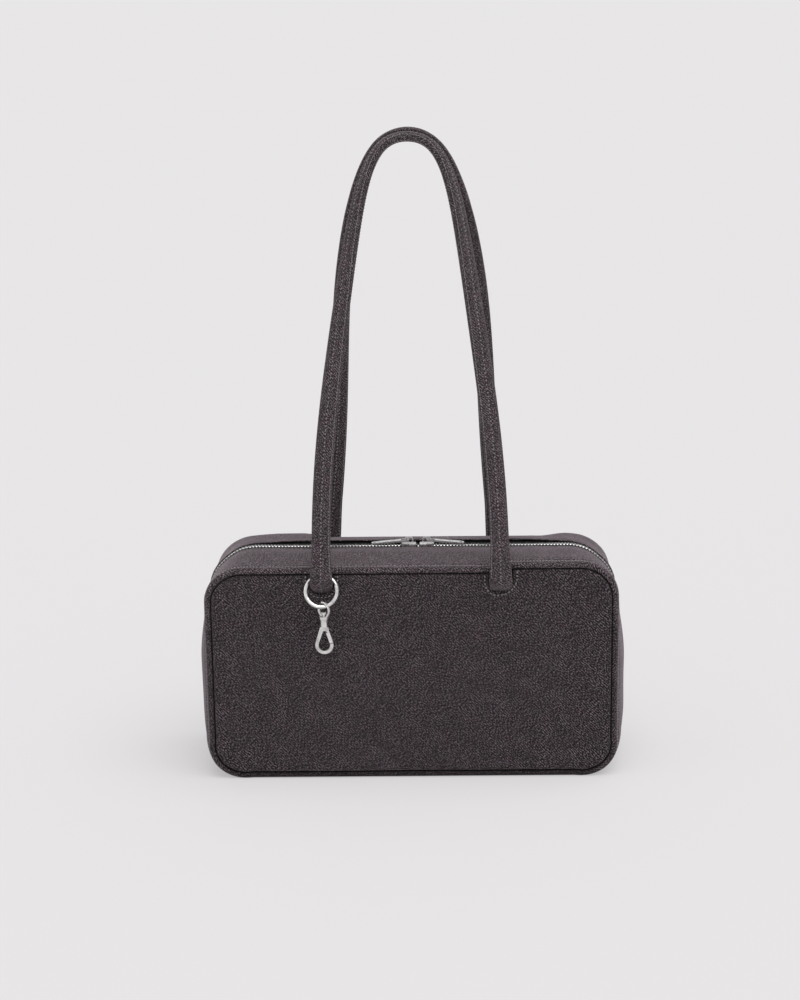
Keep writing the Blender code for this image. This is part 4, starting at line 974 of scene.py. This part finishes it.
def lower_gusset(cloth):
    start, end = ZIP_END + FIT, 2 * HALF_RUN - ZIP_END - FIT
    runs = runs_with_ends(start, end)
    ys, heights = gusset_section(runs, -INSIDE, INSIDE, LOWER_SEED, (-1, 1))
    heights = folded_end(runs, heights, (start, end))
    points = lay_on_gusset(runs, ys, heights)
    points[..., 2] = np.maximum(points[..., 2], 0.0)
    sheet("lower_gusset", points, gusset_weave(runs, ys, heights), cloth)


# Layers inside, which hold the bag's shape


def inner_panel(node, kind, side, face, thickness, finish, sag=0.0):
    """A flat layer behind a panel, with its outline: slack where it sags, or else thinner at its edge."""
    low, high = SEAM_LIFT + PANEL_INSET, SEAM_TOP - PANEL_INSET
    zs = np.array(lines(low, high, 3 * MM) + [high])
    half = half_width_at(np.clip(zs, low + PANEL_INSET / 2, high - PANEL_INSET / 2)) - PANEL_INSET
    x = np.linspace(-1, 1, 80)[None, :] * half[:, None]
    z = np.broadcast_to(zs[:, None], x.shape)
    inset = from_seam(x, z)
    droop = (ripple(x, z, SAG_LENGTH, SAG_SEED) - 1) * sag * smooth(inset / SAG_EASE)
    thinner = 0.0 if sag else FOAM_EDGE_THINNER * (1 - smooth((inset - PANEL_INSET) / FOAM_EDGE))
    inner, outer = (settle(np.stack([x, side * ys, z], axis=-1))
                    for ys in (face - thickness + droop, face + droop - thinner))
    return slab(node, kind, outer, inner, flat_place(x, z), finish)


def inner_strip(node, kind, runs, ys, depth, thickness, finish):
    """A layer inside the gusset, at a depth below its outside."""
    along, across = np.meshgrid(runs, ys, indexing="ij")
    outer, inner = (on_gusset(runs, ys, level) for level in (depth, depth + thickness))
    return slab(node, kind, outer, inner, flat_place(along, across), finish)


def layers(lining, foam, board):
    for which, side in SIDES:
        pad = inner_panel(f"{which}_foam", "sheet", side, FOAM_FACE, FOAM, foam)
        inner_panel(f"lining_{which}", "cloth", side, LINING_FACE, LINING, lining, LINING_SAG)
    cavity = np.linspace(-CAVITY_HALF, CAVITY_HALF, 25)
    top = ZIP_END + FOAM_END_GAP
    ends = (("right", top, SIDE_END), ("left", 2 * HALF_RUN - SIDE_END, 2 * HALF_RUN - top))
    for which, start, end in ends:
        runs = even_runs(start, end, LAYER_STEP)
        pad = inner_strip(f"side_foam_{which}", "sheet", runs, cavity, CLOTH + FIT, SIDE_FOAM, foam)
    runs = even_runs(ZIP_END + FIT, 2 * HALF_RUN - ZIP_END - FIT, LAYER_STEP)
    depth = CLOTH + FIT + SIDE_FOAM + FIT
    inner_strip("lining_gusset", "cloth", runs, cavity, depth, LINING, lining)
    runs = even_runs(-ZIP_END, ZIP_END, LAYER_STEP)
    depth = CLOTH + FIT + TAPE + FIT
    for which, side in SIDES:
        ys = np.linspace(*sorted((side * LINING_FROM_ZIP, side * CAVITY_HALF)), 14)
        inner_strip(f"lining_top_{which}", "cloth", runs, ys, depth, LINING, lining)
    give_material(board, "base_board")


# Zip chain


def chain_parting(x):
    """How far each row of teeth stands off the middle: they part between the two sliders."""
    free = SLIDER_NOSE_GAP / 2 + DIVIDER_LENGTH + WING_CLEARANCE
    past = np.abs(x - SLIDER_MEET_X) - free
    return CHAIN_PARTING * (1 - smooth(past / (SLIDER_LENGTH / 2 - WING)))


def chain_places():
    """Places on the seam that are one pitch apart measured along the chain itself."""
    fine = np.linspace(0, ZIP_END, 4000)
    gone = distances(on_chain(fine, np.array([0.0]), CHAIN_LEVEL)[:, 0])
    marks = np.interp(np.arange(0, gone[-1] - TOOTH_PITCH / 2, TOOTH_PITCH), gone, fine)
    return np.concatenate([-marks[:0:-1], marks])


def tooth_profile():
    """One tooth from above, as (along, across): jaws on the bead, a waist and a rounded head."""
    body, waist, head = TOOTH_PITCH * 0.22, TOOTH_PITCH * 0.13, TOOTH_PITCH * 0.17
    half = [(body, CHAIN_HALF + 0.0002), (body * 1.05, TOOTH_ROOT * 0.62), (waist, TOOTH_ROOT * 0.36),
            (head, 0.0), (head * 0.72, -TOOTH_TIP * 0.8)]
    return np.array(half + [(-along, across) for along, across in half[::-1]])


def tooth(profile, run, side):
    """One tooth as a closed tube, bevelled along its top and bottom."""
    middle = profile.mean(axis=0)
    rings = []
    for level, scale in ((-0.5, 0.82), (-0.36, 1.0), (0.36, 1.0), (0.5, 0.82)):
        shape = middle + (profile - middle) * scale
        ys = side * (shape[:, 1] + chain_parting(run))
        rings.append([on_chain([run + along], np.array([y]), CHAIN_LEVEL + level * TOOTH_HEIGHT)[0, 0]
                      for along, y in zip(shape[:, 0], ys)])
    return closed_tube(np.array(rings))


def zip_teeth(metal):
    """Every tooth of both rows, riding on its tape."""
    marks, profile = chain_places(), tooth_profile()
    for which, side in SIDES:
        centres = marks if side < 0 else (marks[1:] + marks[:-1]) / 2
        teeth = [tooth(profile, run, side) for run in centres]
        row = merged(f"zip_teeth_{which}_metal", teeth, metal, "bag", TOOTH_SHARP)
        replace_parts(row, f"zip_teeth_{which}")


def zip_tapes(tape):
    """The tapes, each with a corded edge that the teeth clamp."""
    near = np.linspace(SLIDER_MEET_X - SLIDER_LENGTH * 1.3, SLIDER_MEET_X + SLIDER_LENGTH * 1.3, 24)
    runs = np.unique(np.concatenate([even_runs(-ZIP_END, ZIP_END, 3 * MM), near]))
    cord = CORD_SHARES * CORD_TALL
    across = CHAIN_HALF + TAPE_STEPS + chain_parting(runs)[:, None] * (1 - TAPE_STEPS / TAPE_WIDTH)
    crown = seam_frames(runs)[4][:, None]
    level = blend(crown, crown_heights(runs, across), np.clip(TAPE_STEPS / TAPE_LEVEL, 0, 1)) - CLOTH - FIT
    weave = flat_place(np.broadcast_to(runs[:, None], across.shape), across)
    for which, side in SIDES:
        outer = lay_on_gusset(runs, side * across, level + cord)
        inner = lay_on_gusset(runs, side * across, level - TAPE - cord)
        slab(f"zip_tape_{which}", "weave", outer, inner, weave, tape)


# Stitches


def stitch_line(points, outward, pitch=STITCH, gap=STITCH_GAP, thickness=THREAD):
    """Thread stitches along a line of points: each dips into the cloth at both ends."""
    gone = distances(points)
    count = int(gone[-1] // pitch)
    spare = (gone[-1] - count * pitch) / 2
    turns = np.linspace(0, 2 * math.pi, THREAD_SIDES, endpoint=False)[None, :, None]
    around = np.linspace(0, 2 * math.pi * thickness, THREAD_SIDES + 1)
    arch = np.sin(np.linspace(0, math.pi, THREAD_STATIONS))
    size = (thickness * (THREAD_END + (1 - THREAD_END) * arch))[:, None, None]
    stitches = []
    for k in range(count):
        start = spare + k * pitch + gap / 2
        places = np.linspace(start, start + pitch - gap, THREAD_STATIONS)
        centre = points_at(places, gone, points)
        up = units(points_at(places, gone, outward))
        beside = np.cross(units(np.gradient(centre, axis=0)), up)
        centre = centre + up * (thickness * (THREAD_ARCH * arch - THREAD_SUNK))[:, None]
        rings = centre[:, None] + (beside[:, None] * np.cos(turns) + up[:, None] * np.sin(turns)) * size
        stitches.append(closed_tube(rings, flat_place((places - start)[:, None], around[None, :])))
    return stitches


def gusset_stitch_row(start, end, y, seed):
    runs = even_runs(start, end, 1.0 * MM)
    line = lay_on_gusset(runs, np.array([y]), strip_heights(runs, np.array([y]), seed))[:, 0]
    line[:, 2] = np.maximum(line[:, 2], THREAD)
    _, _, out_x, out_z, _ = seam_frames(runs)
    return stitch_line(line, np.stack([out_x, np.zeros(len(runs)), out_z], axis=1))


def slot_line(side, strap_x):
    """The line of stitches round a strap's slot, down one side, round its foot and up the other."""
    foot, reach = STRAP_END_Z + NOTCH_RADIUS, NOTCH_RADIUS + SLOT_STITCH_OUT
    right = [(NOTCH_HALF + SLOT_STITCH_OUT, z) for z in np.linspace(SEAM_TOP - SLOT_STITCH_DROP, foot, 10)]
    right += [(NOTCH_HALF - NOTCH_RADIUS + reach * math.cos(turn), foot - reach * math.sin(turn))
              for turn in np.linspace(0, math.pi / 2, 16)[1:]]
    shape = np.array(right + [(-x, z) for x, z in right[::-1]])
    x, z = strap_x + shape[:, 0], shape[:, 1]
    points = settle(np.stack([x, side * panel_face(x, z, PANEL_SEEDS[side]), z], axis=1))
    return points, np.tile([0.0, side, 0.0], (len(points), 1))


def body_stitches(finish):
    stitches = []
    for _, side in SIDES:
        y = side * TOPSTITCH_Y
        stitches += gusset_stitch_row(-ZIP_END + ROW_END, ZIP_END - ROW_END, y, STRIP_SEEDS[side])
        stitches += gusset_stitch_row(ZIP_END + ROW_END, 2 * HALF_RUN - ZIP_END - ROW_END, y, LOWER_SEED)
    for _, side in SIDES:
        for strap_x in (-STRAP_SPREAD, STRAP_SPREAD):
            stitches += stitch_line(*slot_line(side, strap_x), SLOT_STITCH, SLOT_STITCH_GAP, SLOT_THREAD)
    merged("body_stitches", stitches, finish, "bag")


# Straps


def strap_line(side, steps):
    """The strap's centre line from its left end over the arch to its right end."""
    k = np.arange(-LINE_POINTS, LINE_POINTS + 1)
    across = np.abs(k) / LINE_POINTS
    rounding = STRAP_ROUND_DROP / (STRAP_TOP - STRAP_HINGE_Z)
    share = 1 - rounding * across ** 2 - (1 - rounding) * across ** STRAP_LEG_POWER
    wider = -side * STRAP_ARCH_DIFFERENCE * np.sin(2 * math.pi * share)
    leaning = STRAP_LEANS[side] * np.sin(math.pi * share)
    x = np.where(k < 0, -1, 1) * (STRAP_SPREAD * across + wider) + leaning
    y = blend(side * STRAP_BASE_Y, side * (STRAP_WIDTH / 2 + FIT / 2), smooth(share))
    z = blend(STRAP_HINGE_Z, STRAP_TOPS[side], share)
    points = np.stack([x, y, z], axis=1)
    parts = np.diff(points, axis=0)
    lengths = np.linalg.norm(parts, axis=1)
    headings = parts / np.maximum(lengths, 1e-12)[:, None]
    bends = np.arccos(np.clip(np.sum(headings[1:] * headings[:-1], axis=1), -1, 1))
    gone = np.concatenate([[0], np.cumsum(lengths + np.append(bends, 0) * STRAP_BEND_WEIGHT)])
    return points_at(np.linspace(0, gone[-1], steps + 1), gone, points)


def strap_profile():
    """A tube stitched down its middle into two puffs, as (across, through) for half sizes of 1."""
    turn = np.linspace(0, 2 * math.pi, STRAP_SIDES, endpoint=False) + math.pi / STRAP_SIDES
    from_middle = np.abs(np.abs(np.mod(turn, 2 * math.pi) - math.pi) - math.pi / 2)
    puff = 1.0 - CREASE_DEPTH * np.exp(-(from_middle / CREASE_HALF_TURN) ** 2)
    return np.cos(turn), np.sin(turn) * puff


def strap_sections(side, steps):
    """Sections along a strap over its feet: flat to the panel at its ends, and on edge over the arch."""
    line = strap_line(side, steps)
    cad_steps = np.linspace(0, STRAP_STEPS, steps + 1) + STRAP_NOSE_STEPS
    half_count = STRAP_STEPS / 2 + STRAP_NOSE_STEPS
    share = 1 - np.abs(cad_steps - half_count) / half_count
    twist = (side * smooth((share - STRAP_TWIST_START) / (1 - STRAP_TWIST_START)) * math.pi / 2)[:, None]
    above = line[:, 2] - STRAP_HINGE_Z
    widen = smooth(above / STRAP_WIDEN_LENGTH)
    half_width = blend(STRAP_BASE_WIDTH, STRAP_WIDTH, widen) / 2
    half_thick = blend(STRAP_BASE_THICKNESS, STRAP_THICKNESS, widen) / 2
    along = units(np.gradient(line, axis=0))
    depth = units(np.array([0, 1, 0]) - along * along[:, 1:2])
    flat = np.cross(depth, along)
    wide = flat * np.cos(twist) + depth * np.sin(twist)
    thick = depth * np.cos(twist) - flat * np.sin(twist)
    across, through = strap_profile()
    gone = distances(line)
    places = np.meshgrid(gone, across * LUMP_ROUND, indexing="ij")
    lump = 1 + ripple(*places, LUMP_LENGTH, LUMP_SEED + side) * LUMP
    body = (line[:, None] + wide[:, None] * (across * half_width[:, None])[..., None]
            + thick[:, None] * (through * half_thick[:, None] * lump)[..., None])
    keep = above >= FOOT_MARKS[-1] - (STRAP_HINGE_Z - STRAP_END_Z)
    return tuple(part[keep] for part in (body, gone, line, wide, thick, half_width, half_thick))


def strap_foot(side, strap_x, mirror):
    """Level sections of a strap's foot, from its sewn bottom up, and their heights over the slot's bottom."""
    heights = np.linspace(FOOT_MARKS[0], FOOT_MARKS[-1], 30)[:-1]
    width, front, back = (np.interp(heights, FOOT_MARKS, sizes)[:, None]
                          for sizes in (FOOT_WIDTHS, FOOT_FRONTS, FOOT_BACKS))
    across, through = strap_profile()
    x = strap_x + mirror * across * width
    y = side * (front + back) / 2 + through * (front - back) / 2 * FOOT_THROUGH
    z = np.broadcast_to((STRAP_END_Z + heights)[:, None], x.shape)
    return np.stack([x, y, z], axis=-1), heights


def foot_middle(rings, side):
    """The line down the crease of a foot's outer face."""
    low, high = rings.min(axis=1), rings.max(axis=1)
    return (low + high) / 2 + (high - low) / 2 * [0.0, side * (1 - CREASE_DEPTH), 0.0]


def strap_weave(rings, gone, foot_heights):
    """A strap's flat cloth, with painted shade at its feet and where the two straps touch."""
    foot = foot_heights - foot_heights[-1] - (gone[1] - gone[0])
    along = np.concatenate([gone[0] + foot, gone, gone[-1] - foot[::-1]])
    across, through = strap_profile()
    hoops = np.hypot(np.diff(across, append=across[0]) * STRAP_WIDTH,
                     np.diff(through, append=through[0]) * STRAP_THICKNESS)
    around = np.concatenate([[0], np.cumsum(hoops) / 2])
    # Painted shade: darker at the feet, which sit in the slots, and along the line where the two straps touch
    foot_shade = FOOT_SHADE * (1 - smooth(np.linspace(0, 2, len(foot))))
    shade = np.concatenate([foot_shade, np.zeros(len(gone)), foot_shade[::-1]])[:, None]
    touching = smooth(1 - np.abs(rings[..., 1]) / TOUCH_REACH)
    return flat_place(around, along[:, None], np.maximum(shade, np.hstack([touching, touching[:, :1]])))


def strap_stitches(side, sections, feet):
    """The stitches down both creases of a strap, the outer one with its feet, and along one edge."""
    _, _, line, wide, thick, half_width, half_thick = sections
    stitches = []
    for face in (1, -1):
        ups = thick * face
        edge = line + wide * (half_width * EDGE_STITCH_ACROSS)[:, None]
        edge = edge + thick * (face * half_thick * EDGE_STITCH_THROUGH)[:, None]
        crease, crease_ups = line + thick * (face * (1 - CREASE_DEPTH) * half_thick)[:, None], ups
        if face == side:
            left, right = (foot_middle(foot, side) for foot in feet)
            outward = np.tile([0.0, side, 0.0], (len(left), 1))
            crease = np.concatenate([left, crease, right[::-1]])
            crease_ups = np.concatenate([outward, ups, outward])
        stitches += stitch_line(crease, crease_ups, STRAP_STITCH, STRAP_STITCH_GAP, STRAP_THREAD)
        stitches += stitch_line(edge, ups, STITCH, EDGE_STITCH_GAP, EDGE_THREAD)
    return stitches


def straps(cloth, finish):
    for which, side in SIDES:
        sections = strap_sections(side, 420)
        body, gone, line, wide = sections[:4]
        feet = [strap_foot(side, line[end, 0], np.sign(wide[end, 0]) or 1) for end in (0, -1)]
        left, right = (rings for rings, _ in feet)
        rings = np.concatenate([left, body, right[::-1]])
        tube = closed_tube(rings, strap_weave(rings, gone, feet[0][1]))
        strap = merged(f"strap_{which}_cloth", [tube], cloth, None)
        threads = strap_stitches(side, sections, (left, right))
        stitches = merged(f"strap_{which}_stitches", threads, finish, None)
        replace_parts(strap, f"strap_{which}_sleeve", f"strap_end_{which}_left", f"strap_end_{which}_right")
        for piece in (strap, stitches):
            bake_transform(piece)


def wadding(filling):
    for which, side in SIDES:
        body, _, line = strap_sections(side, 120)[:3]
        tube = closed_tube((line[:, None] + (body - line[:, None]) * WADDING_SHARE)[2:-2])
        piece = merged(f"strap_{which}_wadding", [tube], filling, f"strap_{which}")
        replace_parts(piece, f"strap_{which}_filler")


# Stage


def lay_floor():
    """The floor, which is the stage and no part of the bag."""
    mesh = bpy.data.meshes.new("floor")
    corners = [(x * FLOOR_REACH, y * FLOOR_REACH, 0) for x, y in ((-1, -1), (1, -1), (1, 1), (-1, 1))]
    mesh.from_pydata(corners, [], [(0, 1, 2, 3)])
    mesh.materials.append(pale_floor())
    floor = bpy.data.objects.new("floor", mesh)
    bpy.context.scene.collection.objects.link(floor)


def studio():
    """Soft light from all round, which the camera and the metal see as a pale backdrop."""
    world = bpy.data.worlds.new("studio")
    bpy.context.scene.world = world
    world.use_nodes = True
    tree = world.node_tree
    backdrop = tree.nodes["Background"]
    backdrop.inputs["Color"].default_value = STUDIO_COLOUR
    path = tree.nodes.new("ShaderNodeLightPath")
    seen = tree.nodes.new("ShaderNodeMath")
    seen.operation = "MAXIMUM"
    level = tree.nodes.new("ShaderNodeMapRange")
    level.inputs["To Min"].default_value = STUDIO_LIGHT
    level.inputs["To Max"].default_value = STUDIO_SEEN
    tree.links.new(path.outputs["Is Camera Ray"], seen.inputs[0])
    tree.links.new(path.outputs["Is Glossy Ray"], seen.inputs[1])
    tree.links.new(seen.outputs[0], level.inputs["Value"])
    tree.links.new(level.outputs[0], backdrop.inputs["Strength"])


def lamp(name, strength, soft, elevation, azimuth):
    """A sun lamp, with its softness, its height and its turn from the front in degrees."""
    light = bpy.data.lights.new(name, "SUN")
    light.energy = strength
    light.angle = math.radians(soft)
    thing = bpy.data.objects.new(name, light)
    up, turn = math.radians(elevation), math.radians(azimuth)
    source = Vector((math.sin(turn) * math.cos(up), -math.cos(turn) * math.cos(up), math.sin(up)))
    thing.rotation_euler = source.to_track_quat("Z", "Y").to_euler()
    bpy.context.scene.collection.objects.link(thing)


def camera():
    """The photograph's view: from a little to the right, with the frame shifted back."""
    lens = bpy.data.cameras.new("camera")
    lens.lens = LENS
    lens.sensor_width = SENSOR
    lens.clip_end = 200.0
    lens.shift_x = -CAMERA_ASIDE / CAMERA_DISTANCE * LENS / SENSOR
    thing = bpy.data.objects.new("camera", lens)
    bpy.context.scene.collection.objects.link(thing)
    level = Vector((0, -math.cos(CAMERA_PITCH), math.sin(CAMERA_PITCH)))
    thing.location = Vector(CAMERA_TARGET) + level * CAMERA_DISTANCE + Vector((CAMERA_ASIDE, 0, 0))
    look = (-level).to_track_quat("-Z", "Y").to_matrix().to_4x4()
    thing.rotation_euler = (look @ Matrix.Rotation(CAMERA_ROLL, 4, "Z")).to_euler()
    bpy.context.scene.camera = thing


def dress():
    bpy.context.scene.view_settings.view_transform = "Standard"
    cloth = washed_twill("washed_twill")
    # Painted light: the top strips' copy is brighter for the overhead light on them, and the straps' copy for
    # their sheen
    top_cloth = washed_twill("washed_twill_top_painted_light", painted_light=1.5)
    strap_cloth = washed_twill("washed_twill_strap_painted_light", painted_light=1.55, contrast=0.76, sheen=0.16)
    grey_thread = thread()
    metal = satin_metal()
    tape = zip_weave()
    panels(cloth)
    zip_strips(top_cloth)
    lower_gusset(cloth)
    foam = foam_stuff("foam_sheet", (0.78, 0.77, 0.72), (0.52, 0.50, 0.45), 0.0012)
    layers(lining_cloth(), foam, fibre_board())
    zip_tapes(tape)
    zip_teeth(metal)
    body_stitches(grey_thread)
    straps(strap_cloth, grey_thread)
    wadding(foam_stuff("wadding", (0.85, 0.84, 0.81), (0.62, 0.61, 0.58), 0.002))
    give_material(metal, "slider_left", "slider_right", "slider_left_pull", "slider_right_pull", "ring",
                  "clip_eye", "clip_hook", "clip_gate", "clip_gate_pin")
    lay_floor()
    studio()
    lamp("key", **KEY)
    lamp("fill", **FILL)
    camera()


dress()
bpy.context.view_layer.update()
